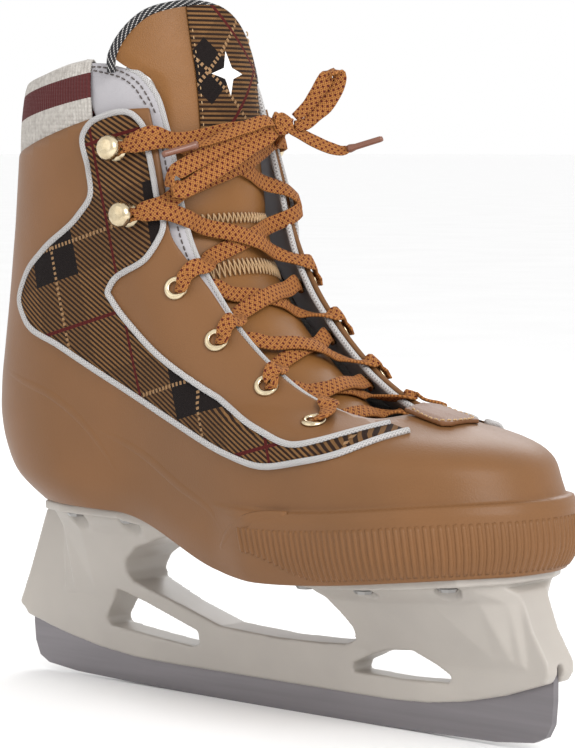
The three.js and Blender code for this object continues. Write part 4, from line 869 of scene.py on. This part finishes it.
def boot_shell():
    """One half of the moulded boot, with its open sole edge closed, mirrored and given its wall."""
    outline = [(k, 0.0) for k in np.linspace(0, 1, 150)]
    toe_end = locate([78.5], [123.4])[1][0]
    outline += [(1.0, u) for u in np.arange(0.15, toe_end, 0.15)]
    around, u = locate(*spline(THROAT_EDGE[::-1], 2.0).T)
    outline += [(1.0, toe_end)] + [(a, b) for a, b in zip(around, u) if a < 0.995]
    around, u = locate(*spline(SHELL_TOP[::-1], 2.5).T)
    outline += list(zip(around, u))
    heel_top = u[-1]
    outline += [(0.0, level) for level in np.arange(heel_top - 0.05, 0.1, -0.2)]
    outline = np.array(outline)
    stretch = np.array([360.0, 13.0])  # millimetres for one unit round the boot and one level
    rows = np.concatenate([
        np.arange(0.1, 2.2, 0.2), np.arange(2.2, 2.7, 0.035), np.arange(2.8, heel_top + 3, 0.22),
    ]) * stretch[1]
    points, faces = filled(outline * stretch, 2.8, rows)
    around, u = (points / stretch).T
    around = np.clip(around, 0, 1)
    solid, normal = skin(around, u, relief(around, u))
    solid[(around < 1e-6) | (around > 1 - 1e-6), 1] = 0
    faces = outward(solid, faces, normal)
    base = len(solid)
    ring = np.where(u < 1e-6)[0]
    ring = ring[np.argsort(around[ring])]
    rim = solid[ring]
    layers, extra = [ring], []
    count = 8  # rows across the sole, from its edge to the middle
    for k in range(1, count + 1):
        row = rim.copy()
        row[:, 1] *= 1 - k / count
        row[:, 2] -= 0.8 * math.sin(min(1, k / 3) * math.pi / 2) * clamp(np.abs(rim[:, 1]) / 20)
        extra.append(row)
        layers.append(np.arange(len(ring)) + base + (k - 1) * len(ring))
    for outer, inner in zip(layers, layers[1:]):
        for k in range(len(ring) - 1):
            faces.append((outer[k], inner[k], inner[k + 1], outer[k + 1]))
    solid = np.vstack([solid, *extra])
    thing = piece("boot_skin", BOOT, "boot_skin", solid, faces, replaces=("boot_shell",))
    modifier(thing, "MIRROR", use_axis=(False, True, False), merge_threshold=0.00005)
    modifier(thing, "WELD", merge_threshold=0.00002)
    modifier(thing, "SOLIDIFY", thickness=(SHELL_WALL - 0.5) * MM, offset=-1, use_rim=True)


def toe_ribs():
    """Fine upright ribs round the toe bumper, one ridge each."""
    samples = np.linspace(0.3, 1, 1500)
    line = smooth_skin(samples, np.full(len(samples), 1.2))
    reached = travelled(line)
    start = np.interp(RIB_FROM_X, line[:, 0], reached)
    places = np.interp(np.arange(start, reached[-1], RIB_PITCH), reached, samples)
    half = RIB_PITCH * 0.42
    section = [(-half, -0.9), (-half, -0.3), (-half * 0.6, 0.25), (0, RIB_HEIGHT), (half * 0.6, 0.25),
               (half, -0.3), (half, -0.9)]
    parts = []
    for index, place in enumerate(places):
        low = mix(1.15, 0.25, smooth(index / 14))
        levels = np.linspace(low, BUMPER_LEVEL - 0.52, 12)
        for sign in (1, -1):
            at = np.full(len(levels), sign * place)
            fade = relief(at, levels)
            ease = np.sin(np.linspace(0.12, np.pi - 0.12, len(levels))) ** 0.35
            line, normal = skin(at, levels, fade - 0.35 + 0.45 * ease)
            parts.append(sweep(line, normal, section))
    joined("toe_ribs", BOOT, "boot_skin", parts)


CONTOURS = [
    [(-129, 132), (-109, 128), (-85, 122), (-68, 112), (-55, 100), (-45, 88)],
    [(-66, 112), (-36, 103), (-11, 91.5), (9, 83.5), (19, 76)],
    [(15, 66), (17, 70), (21, 75.6), (27, 80), (34.7, 83), (44, 84.6), (53, 85)],
]


def skin_contours():
    """The raised lines moulded along the sides."""
    parts = []
    for places in CONTOURS:
        around, u = locate(*spline(places, 3).T)
        ends = np.sin(np.linspace(0.05, np.pi - 0.05, len(u))) ** 0.5
        for side in SIDES:
            points, normal = skin(on_side(around, side), u, relief(around, u) - 0.8 + 0.4 * ends)
            parts.append(sweep(points, normal, circle(1, 10) * (2.6, 0.62)))
    joined("side_contours", BOOT, "boot_skin", parts)


def plaid_panel(side):
    """The plaid cloth set into a side of the boot."""
    outline = closed(spline(PANEL_OUTLINE, 2.5), 2.5)
    points, faces = side_patch(outline, 0.75, 3.0, side)
    thing = piece(f"plaid_{side}", BOOT, "plaid_fabric", points, faces, look="plaid_side",
                  replaces=(f"plaid_panel_{side}",))
    modifier(thing, "SOLIDIFY", thickness=0.7 * MM, offset=-1)


def piping(side):
    """The braid round a side panel."""
    line, normal = skin_line(PANEL_OUTLINE, 1.2, side, 0.8)
    piece(f"piping_braid_{side}", BOOT, "white_piping", *sweep(line, normal, circle(PIPING_RADIUS, 10)),
          replaces=(f"piping_{side}",))


CUFF_END = 0.565  # how far forward it runs, as a place around the boot
CUFF_RIBS = 340  # half a turn of this wave for one rib
CUFF_RIB_DEPTH = 0.6


def knit_cuff():
    """The ribbed cuff round the back of the ankle."""
    around = np.linspace(-CUFF_END, CUFF_END, 1100)
    top_around, top_u = locate(*np.array(LINER_TOP + COLLAR_TOP).T)
    low_around, low_u = locate(*np.array(SHELL_TOP).T)
    top = np.interp(np.abs(around), top_around, top_u)
    low = np.interp(np.abs(around), low_around, low_u) - 0.35
    rib = CUFF_RIB_DEPTH * np.abs(np.sin(np.abs(around) * CUFF_RIBS))
    layers = []
    for share in np.linspace(0, 1, 16):
        swell = 1.3 * math.sin(math.pi * share) ** 0.6
        layers.append(skin(around, mix(low, top, share), LINER_OUT + 0.3 + rib + swell)[0])
    for depth in (1.2, 2.6, 3.6):
        layers.append(skin(around, top + (0.05 if depth < 2 else -0.02), LINER_OUT + 0.3 - depth)[0])
    layers.append(skin(around, top - 0.6, LINER_OUT - 4.2)[0])
    points = np.vstack(layers)
    faces = grid_faces(len(layers), len(around), flip=True)
    thing = piece("cuff_rib", BOOT, "cuff_knit", points, faces, replaces=("knit_cuff",))
    modifier(thing, "SOLIDIFY", thickness=0.5 * MM, offset=-1)


FACING_SEAMS = [
    [(-63.2, 235.5), (-66.6, 242), (-70.4, 254.5), (-66, 254.8), (-55, 254.2), (-47.5, 252), (-41.6, 247.6),
     (-38.4, 243.2), (-34.3, 236)],
    [(-61.8, 237), (-64, 242), (-67.8, 252.8), (-56, 252.2), (-48.5, 250), (-43.4, 246.2),
     (-40.4, 242.2), (-37.4, 238.5)],
    [(-33.2, 232), (-25.8, 208.3), (-21.2, 192.7), (-15.4, 179.4), (-9.4, 170.4), (3.3, 155)],
]


def collar_facing(side):
    """Grey leather from the collar's corner down beside the throat."""
    edge = spline(LINER_EDGE, 2.5)
    outline = COLLAR_BACK + COLLAR_TOP + list(map(tuple, edge)) + FACING_UNDER
    points, faces = side_patch(closed(outline, 2.5), LINER_OUT + 0.5, 3.2, side)
    thing = piece(f"facing_{side}", BOOT, "grey_leather", points, faces,
                  replaces=(f"collar_facing_{side}",))
    modifier(thing, "SOLIDIFY", thickness=FACING_WALL * MM, offset=-1)
    modifier(thing, "BEVEL", width=0.5 * MM, segments=2).limit_method = "ANGLE"
    rim, normal = skin_line(LINER_EDGE, 2.5, side, LINER_OUT - 0.5)
    piece(f"facing_edge_{side}", BOOT, "white_piping", *sweep(rim, normal, circle(FACING_EDGE_RADIUS, 10)))
    lines = [skin_line(row, 1.5, side, LINER_OUT + 0.65) for row in FACING_SEAMS]
    seams = [stitch_row(line, normal, 1.7, 1.0, THREAD_RADIUS) for line, normal in lines]
    joined(f"facing_stitches_{side}", BOOT, "grey_leather", seams, "dark_thread")


# Turned outlines as (radius, height off the skin).
EYELET_OUTLINE = [
    (2.4, -5.2), (2.4, 0.75), (2.7, 1.25), (3.3, 1.5), (4.1, 1.35), (4.75, 0.7), (4.85, 0.2), (4.4, 0.15),
    (3.2, 0.1), (3.1, -5.2), (2.4, -5.2),
]
# A base plate, a short neck and a faceted bell-shaped head.
HOOK_OUTLINE = [
    (0, -2), (1.4, -2), (1.4, 1.0), (4.6, 1.0), (4.7, 1.5), (2.4, 2.0), (1.8, 2.6), (1.8, 5.4), (3.4, 5.7),
    (5.0, 6.4), (5.3, 7.2), (4.9, 8.6), (3.9, 9.9), (2.6, 10.3), (0, 10.35),
]


def fasteners(places, outline, sides, name, node):
    """Turned brass parts that stand on the skin at side-view places, on both sides."""
    for k, (x, z) in enumerate(places, 1):
        around, u = locate([x], [z])
        for side in SIDES:
            point, normal = skin(on_side(around, side), u)
            points, faces = lathe(outline, point[0], normal[0], sides)
            piece(f"{name}_{k}_{side}", BOOT, "eyelet_brass", points, faces, replaces=(f"{node}_{k}_{side}",))


# ---------------------------------------------------------------- tongue

TONGUE_ROWS = np.array([
    [66, 110, 20], [55, 114.5, 25], [43, 121, 28], [29.5, 130.5, 29], [15.5, 142, 30], [-1, 157, 30],
    [-12.5, 173, 30], [-18.5, 189, 29.5], [-21.5, 206, 29], [-24, 225, 28], [-25.5, 240, 27], [-27, 252, 29],
    [-29, 261.5, 38], [-32.5, 280, 46], [-33.5, 287, 46],
], float)
TONGUE_CURL = 0.0135
TONGUE_PAD = 8
# The rounded top seen from the front, from the left shoulder to the right one, as [y, z].
TONGUE_TOP = np.array([
    (29, 250), (27.5, 256), (23.5, 263), (17.5, 270), (10, 275.5), (2, 279), (-8, 281), (-20, 280.7),
    (-29, 278.2), (-36, 272), (-40.5, 263.5), (-41.5, 255),
], float)
TONGUE_LINE = spline(TONGUE_ROWS, 1.0)
TONGUE_AHEAD = unit(np.gradient(TONGUE_LINE[:, :2], axis=0))


def tongue_at(z, y, offset=0.0):
    """Points of the tongue's face at a height and a distance to the left, and the outward directions."""
    z, y = np.broadcast_arrays(np.asarray(z, float), np.asarray(y, float))
    heights = TONGUE_LINE[:, 1]
    x = np.interp(z, heights, TONGUE_LINE[:, 0])
    ahead_x = np.interp(z, heights, TONGUE_AHEAD[:, 0])
    ahead_z = np.interp(z, heights, TONGUE_AHEAD[:, 1])
    back = offset - TONGUE_CURL * y * y
    point = np.stack([x + ahead_z * back, y, z - ahead_x * back], axis=-1)
    slope = 2 * TONGUE_CURL * y
    normal = unit(np.stack([ahead_z, slope, -ahead_x], axis=-1))
    return point, normal


def tongue_limits(z):
    """The tongue's right and left edges at a height."""
    half = np.interp(z, TONGUE_LINE[:, 1], TONGUE_LINE[:, 2])
    top = spline(TONGUE_TOP, 1.0)
    peak = int(np.argmax(top[:, 1]))
    left = np.interp(z, top[:peak + 1, 1], top[:peak + 1, 0])
    right = np.interp(z, top[peak:, 1][::-1], top[peak:, 0][::-1])
    return np.maximum(-half, right), np.minimum(half, left), top


STITCH_HEIGHTS = ((193, 197), (173, 179))


def tongue_pad():
    """Padding, quilted between its two rows of zigzag stitching."""
    foot, peak = 112.0, 280.6
    rows = foot + (peak - foot) * (1 - (1 - np.linspace(0, 1, 130)) ** 1.7)
    right, left, _ = tongue_limits(rows)
    shares = np.sin(np.linspace(-np.pi / 2, np.pi / 2, 41))
    y = mix(right[:, None], left[:, None], (shares[None, :] + 1) / 2)
    z = np.repeat(rows[:, None], len(shares), 1)
    puff = 0.9 * (1 - shares[None, :] ** 4) * np.ones_like(z)
    for low, high in STITCH_HEIGHTS:
        seam = np.exp(-((z - (low + high) / 2) / (0.9 * (high - low))) ** 2)
        puff = puff - 1.5 * seam * (1 - 0.5 * np.abs(shares[None, :]) ** 3)
    edge_round = 1.6 * np.maximum(0, np.abs(shares[None, :]) - 0.9) / 0.1
    face, _ = tongue_at(z, y, puff - 0.9 - edge_round)
    depth = TONGUE_PAD * (1 - 0.6 * shares[None, :] ** 2) * smooth((peak + 1.5 - z) / 10 + 0.25)
    back, _ = tongue_at(z, y, -depth + edge_round * 0.4)
    points = np.vstack([face.reshape(-1, 3), back.reshape(-1, 3)])
    columns, count = len(shares), len(rows) * len(shares)
    faces = grid_faces(len(rows), columns, flip=True)
    faces += [tuple(k + count for k in f[::-1]) for f in faces]
    for row in range(len(rows) - 1):
        for k in (0, columns - 1):
            a, b = row * columns + k, (row + 1) * columns + k
            faces.append((a, b, b + count, a + count) if k == 0 else (b, a, a + count, b + count))
    for row in (0, len(rows) - 1):
        for k in range(columns - 1):
            a, b = row * columns + k, row * columns + k + 1
            faces.append((b, a, a + count, b + count) if row else (a, b, b + count, a + count))
    thing = piece("tongue_pad", TONGUE, "tongue_leather", points, faces, replaces=("tongue_body",))


def tongue_lining():
    softened("tongue_felt", "tongue_lining", TONGUE, "lining_fabric", 0.7, 4)


def tongue_patch():
    """The plaid patch over the tongue's top."""
    foot, peak = 226.0, 279.2
    rows = np.linspace(foot, peak, 60)
    right, left, _ = tongue_limits(rows)
    right, left = np.maximum(right + 1.6, -15), np.minimum(left - 1.6, 24)
    left = np.maximum(left, right + 0.5)
    shares = np.linspace(0, 1, 33)
    y = mix(right[:, None], left[:, None], shares[None, :])
    z = np.repeat(rows[:, None], len(shares), 1)
    points = tongue_at(z, y, 0.55)[0].reshape(-1, 3)
    faces = grid_faces(len(rows), len(shares), flip=True)
    thing = piece("plaid_patch", TONGUE, "plaid_fabric", points, faces, look="plaid_front",
                  replaces=("tongue_patch",))
    modifier(thing, "SOLIDIFY", thickness=0.6 * MM, offset=-1)
    parts = []
    z = np.arange(230, 272, 1.0)
    for y_edge in (-14, 21):
        line, normal = tongue_at(z, np.full(len(z), y_edge), 0.85)
        parts.append(stitch_row(line, normal, 1.8, 1.1, THREAD_RADIUS))
    joined("patch_stitches", TONGUE, "tongue_leather", parts, "tan_thread")


def tongue_stitches():
    """Zigzag threads in two rows across the tongue."""
    parts = []
    for low, high in STITCH_HEIGHTS:
        pitch = 2.3
        for start in np.arange(-25, 25 - pitch, pitch):
            for y1, z1, z2 in ((start, low, high), (start + pitch / 2, high, low)):
                share = np.linspace(0, 1, 5)
                lift = 0.5 * np.sin(np.pi * share) - 0.3
                line, normal = tongue_at(mix(z1, z2, share), y1 + share * pitch / 2, lift)
                parts.append(sweep(line, normal, circle(THREAD_RADIUS, 6)))
    joined("tongue_zigzag", TONGUE, "tongue_leather", parts, "tan_thread")


def tongue_emblem():
    """A plain four-pointed star badge, as the CAD has it."""
    centre, outer, inner = 252, 9, 3.2
    turn = np.arange(8) * np.pi / 4
    radius = np.where(np.arange(8) % 2, inner, outer)
    ring = [(r * math.sin(t), centre + r * math.cos(t)) for r, t in zip(radius, turn)]
    points, faces = filled(closed(ring, 0.8), 1.0)
    solid, normal = tongue_at(points[:, 1], points[:, 0], 1.3)
    thing = piece("star_badge", TONGUE, "emblem_white", solid, outward(solid, faces, normal),
                  replaces=("tongue_emblem",))
    modifier(thing, "SOLIDIFY", thickness=0.9 * MM, offset=-1)
    modifier(thing, "BEVEL", width=0.25 * MM, segments=2).limit_method = "ANGLE"


BINDING_SECTION = np.array([
    (-2.4, 0), (-2.3, 1.4), (-1.4, 2.6), (0, 3.0), (1.4, 2.6), (2.3, 1.4), (2.4, 0), (2.2, -1.8),
    (1.2, -2.8), (0, -3.0), (-1.2, -2.8), (-2.2, -1.8),
]) * (0.75, 0.85)


def tongue_binding():
    """The woven tape over the tongue's rounded top."""
    _, _, top = tongue_limits(np.array([250.0]))
    top = top[(top[:, 1] > 257) | (top[:, 0] > 0)]
    y, z = top[:, 0], top[:, 1]
    inward = np.array([-6.0, 262])
    pull = unit(inward - top) * 1.2
    line, normal = tongue_at(z + pull[:, 1], y + pull[:, 0], -2.2)
    piece("tongue_tape", TONGUE, "binding_weave", *sweep(line, normal, BINDING_SECTION),
          replaces=("tongue_binding",))


# ---------------------------------------------------------------- lace

LACE_WIDTH = 7.0
LACE_THICK = 1.3
LACE_SECTION = np.array([
    (-0.5, 0), (-0.46, 0.4), (-0.25, 0.5), (0, 0.52), (0.25, 0.5), (0.46, 0.4), (0.5, 0), (0.46, -0.4),
    (0.25, -0.5), (0, -0.52), (-0.25, -0.5), (-0.46, -0.4),
]) * (LACE_WIDTH, LACE_THICK)
LACE_OUT = 2.1
LACE_IN = LINER_OUT - FACING_WALL - 1.6
HOOK_LACE = 3.9
OVER_TONGUE = 1.7
CROSSED = OVER_TONGUE + 2.0
OVER_EDGE = -0.7
KNOT = np.array([-5, 8, 232.0])


def spot(around, u, side, offset, width=1.0):
    point, normal = skin(on_side(around, side), u, offset)
    return point[0], normal[0], width


def edge_places(edge):
    return np.column_stack(locate(*spline(edge, 3.0).T))


THROAT_PLACES = edge_places(THROAT_EDGE)
LINER_PLACES = edge_places(LINER_EDGE)


def crossing(places, start, end, side):
    """The place on an edge nearest to the line between two points."""
    ahead = unit(end - start)
    points = smooth_skin(on_side(places[:, 0], side), places[:, 1])
    away = points - start
    away = away - np.outer(away @ ahead, ahead)
    return places[np.argmin(np.linalg.norm(away, axis=1))]


def to_edge(fastener, far, side, offset):
    """The lace from a fastener to the edges of the shell and the liner, on its way to a far point."""
    near = smooth_skin(on_side(fastener[0], side), fastener[1])[0]
    shell = crossing(THROAT_PLACES, near, far, side)
    liner = crossing(LINER_PLACES, near, far, side)
    lead = mix(np.array(fastener), shell, 0.5)
    return [
        spot(*lead, side, offset, 0.9),
        spot(*shell, side, offset),
        spot(*liner, side, min(offset, OVER_EDGE + 0.6)),
    ]


def over_tongue(z, y, offset):
    point, normal = tongue_at(z, y, offset)
    return point, normal, 1.0


def fastener_frame(place, side):
    point, normal = (value[0] for value in skin(on_side(place[0], side), place[1]))
    ahead = smooth_skin(on_side(place[0] + 0.02, side), place[1])[0] - point
    ahead = unit(ahead - normal * (ahead @ normal))
    upward = np.cross(normal, ahead) * (-1 if side == "right" else 1)
    return point, normal, ahead, upward


def through_eyelet(place, side):
    """The lace where it comes up through an eyelet."""
    point, normal, ahead, _ = fastener_frame(place, side)
    at = lambda out, along: point + normal * out + ahead * along
    return [
        (at(LACE_IN, 3.0), normal, 0.7),
        (at(LACE_IN + 0.8, 0.6), unit(normal + ahead), 0.55),
        (at(-1.5, 0), ahead, 0.5),
        (at(1.2, 0.6), unit(ahead - normal * 0.6), 0.52),
        (at(LACE_OUT + 0.5, 3.2), -normal, 0.7),
    ]


def round_hook(place, side):
    """The lace where it lies round a hook's neck."""
    point, normal, ahead, upward = fastener_frame(place, side)
    radius = 2.6
    route = []
    for degrees in (-75, -115, -155, 180, 155, 115, 75):
        angle = math.radians(degrees)
        out = ahead * math.cos(angle) + upward * math.sin(angle)
        route.append((point + normal * HOOK_LACE + out * radius, out, 0.5))
    return route


def flipped(route):
    return [(point, -normal, width) for point, normal, width in route]


def strand(start, end, side, off_tongue, start_out, ends_under):
    """The lace from one fastener over the tongue to the next one on the other side."""
    other = "left" if side == "right" else "right"
    near = smooth_skin(on_side(start[0], side), start[1])[0]
    far = smooth_skin(on_side(end[0], other), end[1])[0]
    first = to_edge(start, far, side, start_out)
    last = to_edge(end, near, other, LACE_IN if ends_under else HOOK_LACE)[::-1]
    leave, arrive = first[-1][0], last[0][0]
    middle = [
        over_tongue(mix(leave[2], arrive[2], s), mix(leave[1], arrive[1], s), off_tongue)
        for s in (0.2, 0.4, 0.6, 0.8)
    ]
    return first + middle + last


def aligned(route):
    """Turns each direction so that the flat lace doesn't flip over from one point to the next."""
    result = [route[0]]
    for point, normal, width in route[1:]:
        result.append((point, normal if normal @ result[-1][1] >= 0 else -normal, width))
    return result


FASTENERS = [("eyelet", *place) for place in EYELET_PLACES] + [("hook", *place) for place in HOOK_PLACES]


def fastener_places():
    return [(kind, tuple(float(v[0]) for v in locate([x], [z]))) for kind, x, z in FASTENERS]


def half_lace(first_side, off_tongue):
    """One half of the lace, crossing from side to side up the throat and on to the knot."""
    places = fastener_places()
    side = first_side
    route = []
    for k, (kind, place) in enumerate(places):
        route += through_eyelet(place, side) if kind == "eyelet" else round_hook(place, side)
        if k + 1 < len(places):
            next_kind, next_place = places[k + 1]
            out = LACE_OUT if kind == "eyelet" else HOOK_LACE
            route += strand(place, next_place, side, off_tongue, out, next_kind == "eyelet")
            side = "left" if side == "right" else "right"
    toward = -1 if side == "right" else 1
    at_knot = KNOT + np.array([-1, toward * 4.5, 0.5])
    over = to_edge(places[-1][1], at_knot, side, HOOK_LACE)
    middle = mix(over[-1][0], at_knot, 0.55)
    front = np.array([1.0, 0.1 * toward, 0.1])
    return route + over + [(middle + np.array([0.8, 0, 0]), front, 0.85), (at_knot, front, 0.6)]


def ribbon(route, step=1.3):
    """The flat lace along a route of points, directions and widths."""
    points, normals, widths = (np.array(column, float) for column in zip(*aligned(route)))
    line, normals, widths = spline(points, step, normals, widths)
    return sweep(line, normals, LACE_SECTION, widths)


def lace():
    """The held lace, whole: from the knot down one side, over the bottom and up the other."""
    places = fastener_places()
    lowest = places[0][1]
    bar = np.array([53, 0, 120.0])
    ends = {side: to_edge(lowest, bar, side, LACE_IN) for side in SIDES}
    inner = ends["left"][-1][0]
    middle = [over_tongue(inner[2], s * inner[1], OVER_TONGUE) for s in (-0.6, -0.2, 0.2, 0.6)]
    bottom = ends["right"] + middle + ends["left"][::-1]
    right = half_lace("right", CROSSED)
    left = half_lace("left", OVER_TONGUE)
    points, faces, uvs = ribbon(right[::-1] + bottom + left)
    piece("lace_ribbon", BOOT, "lace_weave", points, faces, uvs, replaces=("lace",))


def knot():
    """The bow's knot: two tucked turns with a band round them."""
    parts = []
    turns = [
        (np.array([0.35, 0.2, 1.0]), 3.6, 0.95), (np.array([0.2, 0.9, 0.35]), 3.2, 0.8),
        (np.array([1.0, -0.3, 0.35]), 3.4, 0.85),
    ]
    for axis, radius, width in turns:
        axis = unit(axis)
        helper = unit(np.cross(axis, [0.3, 1, 0.2]))
        other = np.cross(axis, helper)
        angle = np.linspace(0, 2 * np.pi * 0.98, 36)
        out = np.cos(angle)[:, None] * helper + np.sin(angle)[:, None] * other
        line = KNOT + out * radius + axis * (0.6 * np.sin(2 * angle))[:, None]
        parts.append(sweep(line, out, LACE_SECTION, np.full(len(line), width)))
    core, faces = lathe([(0, -3.1), (1.8, -2.6), (2.9, -1.2), (3.1, 0.3), (2.4, 2.1), (1.2, 2.9), (0, 3.1)],
                        KNOT, np.array([0.2, 0.3, 1.0]), 18)
    parts.append((core, faces, [(0.5, 0.0)] * len(core)))
    points, faces, uvs = merged(parts)
    piece("bow_knot", BOOT, "lace_weave", points, faces, uvs, replaces=("lace_knot",))


# The bow's free parts, from the knot outwards, in millimetres from its middle.
RIGHT_LOOP = [
    (0, -5.6, -1), (-0.8, -9, -1.8), (-2, -14, -3), (-5, -24, -7), (-9, -35, -13), (-12, -44, -17.5),
    (-13.5, -48.5, -20.5), (-13, -49, -24), (-11.5, -45, -25.5), (-8, -36, -21), (-4, -24, -14),
    (-1, -14, -8), (1, -8, -5), (1.4, -5.4, -3.2),
]
LEFT_LOOP = [
    (2.5, 5.8, 2.5), (5.5, 9.5, 7), (8.5, 11.5, 12), (11, 13, 16.5), (13, 14.5, 20), (14.5, 16, 21),
    (15, 18, 19.5), (14, 18.5, 16), (12, 17.5, 11.5), (9.5, 15.5, 7), (7, 12.5, 3.5), (4.6, 9.5, 0),
    (2.6, 5.4, -0.6),
]
RIGHT_END = [
    (0.4, -5.6, 1), (0.5, -8.6, 1.4), (-1, -16, -0.5), (-3.5, -25, -3.5), (-6, -33, -6.5), (-9, -40, -8.5),
]
LEFT_END = [
    (0.6, 1.6, -0.8), (2.1, 5.35, -2.45), (6, 14, -7), (9.5, 19, -9.5), (13, 22.5, -10.5), (16, 24, -9.5),
]


def free_lace(name, node, places, facing, widths):
    points = KNOT + np.array(places, float)
    normals = np.array(facing, float)
    if normals.ndim == 1:
        normals = np.repeat(normals[None], len(points), 0)
    share = np.linspace(0, 1, len(points))
    widths = np.interp(share, np.linspace(0, 1, len(widths)), widths)
    line, normals, widths = spline(points, 1.2, normals, widths)
    solid, faces, uvs = sweep(line, normals, LACE_SECTION, widths)
    thing = piece(name, BOOT, "lace_weave", solid, faces, uvs, replaces=(node,))


# The tip of a lace end, turned: (radius, distance from the end of the weave).
AGLET_OUTLINE = [
    (0, -1.5), (1.5, -1.5), (1.75, -0.5), (1.6, 0.6), (1.3, 2), (1.25, 12.6), (1.0, 13.5), (0, 13.7),
]


def aglet(side, places):
    tip = KNOT + np.array(places[-1], float)
    ahead = unit(np.array(places[-1], float) - np.array(places[-2], float))
    points, faces = lathe(AGLET_OUTLINE, tip, ahead, 16)
    return piece(f"lace_tip_{side}", BOOT, "aglet_plastic", points, faces, replaces=(f"aglet_{side}",))


def bow():
    """The bow's two loops and two ends, which hang from the knot."""
    toward = np.array([0.73, -0.68, 0.1])  # the loops lie open to the front right
    right_tip = aglet("right", RIGHT_END)
    left_tip = aglet("left", LEFT_END)
    turn = [toward] * 6 + [(-0.3, -0.9, 0.2)] * 2 + [-toward] * 6
    free_lace("loop_right", "bow_loop_right", RIGHT_LOOP, turn, (0.7, 1, 1, 1, 0.7))
    turn = [toward] * 4 + [(0.5, 0.2, 0.9)] * 2 + [-toward] * 7
    free_lace("loop_left", "bow_loop_left", LEFT_LOOP, turn, (0.6, 0.9, 0.8, 0.9, 0.6))
    free_lace("end_right", "lace_end_right", RIGHT_END, (0.6, -0.5, 0.7), (0.7, 0.9, 0.9, 0.5, 0.35))
    free_lace("end_left", "lace_end_left", LEFT_END, (0.55, -0.6, 0.6), (0.5, 0.8, 0.85, 0.7, 0.38))


# ---------------------------------------------------------------- toe tab, inside, holder

def toe_tab():
    """The leather tab under the lowest lace, stitched round its edge."""
    softened("tab", "toe_tab", BOOT, "tab_leather", 0.45, 4)
    low, high = np.array(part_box("toe_tab")) / MM
    inset = 2.2
    corners = [(low[0] + 1, -8.6), (high[0] - 4, -8.6), (high[0] - inset, -6.2), (high[0] - inset, 6.2),
               (high[0] - 4, 8.6), (low[0] + 1, 8.6)]
    line = spline([(x, y, 0) for x, y in corners], 1.0)
    around, u = tab_places(line[:, 0], line[:, 1])
    threads, normal = skin(around, u, 2.05)
    stitches = stitch_row(threads, normal, 1.6, 0.9, THREAD_RADIUS)
    joined("tab_stitches", BOOT, "tab_leather", [stitches], "tan_thread")


def tab_places(x, y):
    """Places on the skin's top under points seen from above."""
    around = np.full(len(x), 0.95)
    level_low, level_high = np.full(len(x), 4.5), np.full(len(x), 8.0)
    sign = np.where(y < 0, 1.0, -1.0)
    for _ in range(30):
        u = (level_low + level_high) / 2
        low, high = np.full(len(x), 0.5), np.full(len(x), 1.0 - 1e-5)
        for _ in range(24):
            around = (low + high) / 2
            wide = np.abs(smooth_skin(around, u)[:, 1]) > np.abs(y)
            low, high = np.where(wide, around, low), np.where(wide, high, around)
        ahead = smooth_skin(around, u)[:, 0] > x
        level_low, level_high = np.where(ahead, u, level_low), np.where(ahead, level_high, u)
    return around * sign, u


def inside_pieces():
    softened("lining_pad", "liner", BOOT, "liner_fabric", 1.6, 8)
    softened("insole", "footbed", BOOT, "footbed_foam", 1.2, 6)


def holder():
    softened("holder_body", "holder", BOOT, "holder_plastic", 0.75, 7, 0.6)


def carried_nodes():
    """CAD nodes whose shape is right keep it and get their material."""
    finishes = {"runner": "runner_steel", "rivet_": "rivet_steel", "runner_": "bolt_steel"}
    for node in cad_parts:
        for start, finish in finishes.items():
            if node == start or (start.endswith("_") and node.startswith(start)):
                slots = bpy.data.objects[node].data.materials
                slots.clear()
                slots.append(MATERIALS[finish])


def build():
    add_camera()
    bow()
    lace()
    knot()
    boot_shell()
    toe_ribs()
    skin_contours()
    for side in SIDES:
        plaid_panel(side)
        piping(side)
        collar_facing(side)
    knit_cuff()
    fasteners(EYELET_PLACES, EYELET_OUTLINE, EYELET_SIDES, "eyelet_rim", "eyelet")
    fasteners(HOOK_PLACES, HOOK_OUTLINE, HOOK_FLATS, "hook", "lace_hook")
    tongue_pad()
    tongue_lining()
    tongue_patch()
    tongue_stitches()
    tongue_emblem()
    tongue_binding()
    toe_tab()
    inside_pieces()
    holder()
    carried_nodes()
    add_studio()
    add_floor()


build()
bpy.context.view_layer.update()
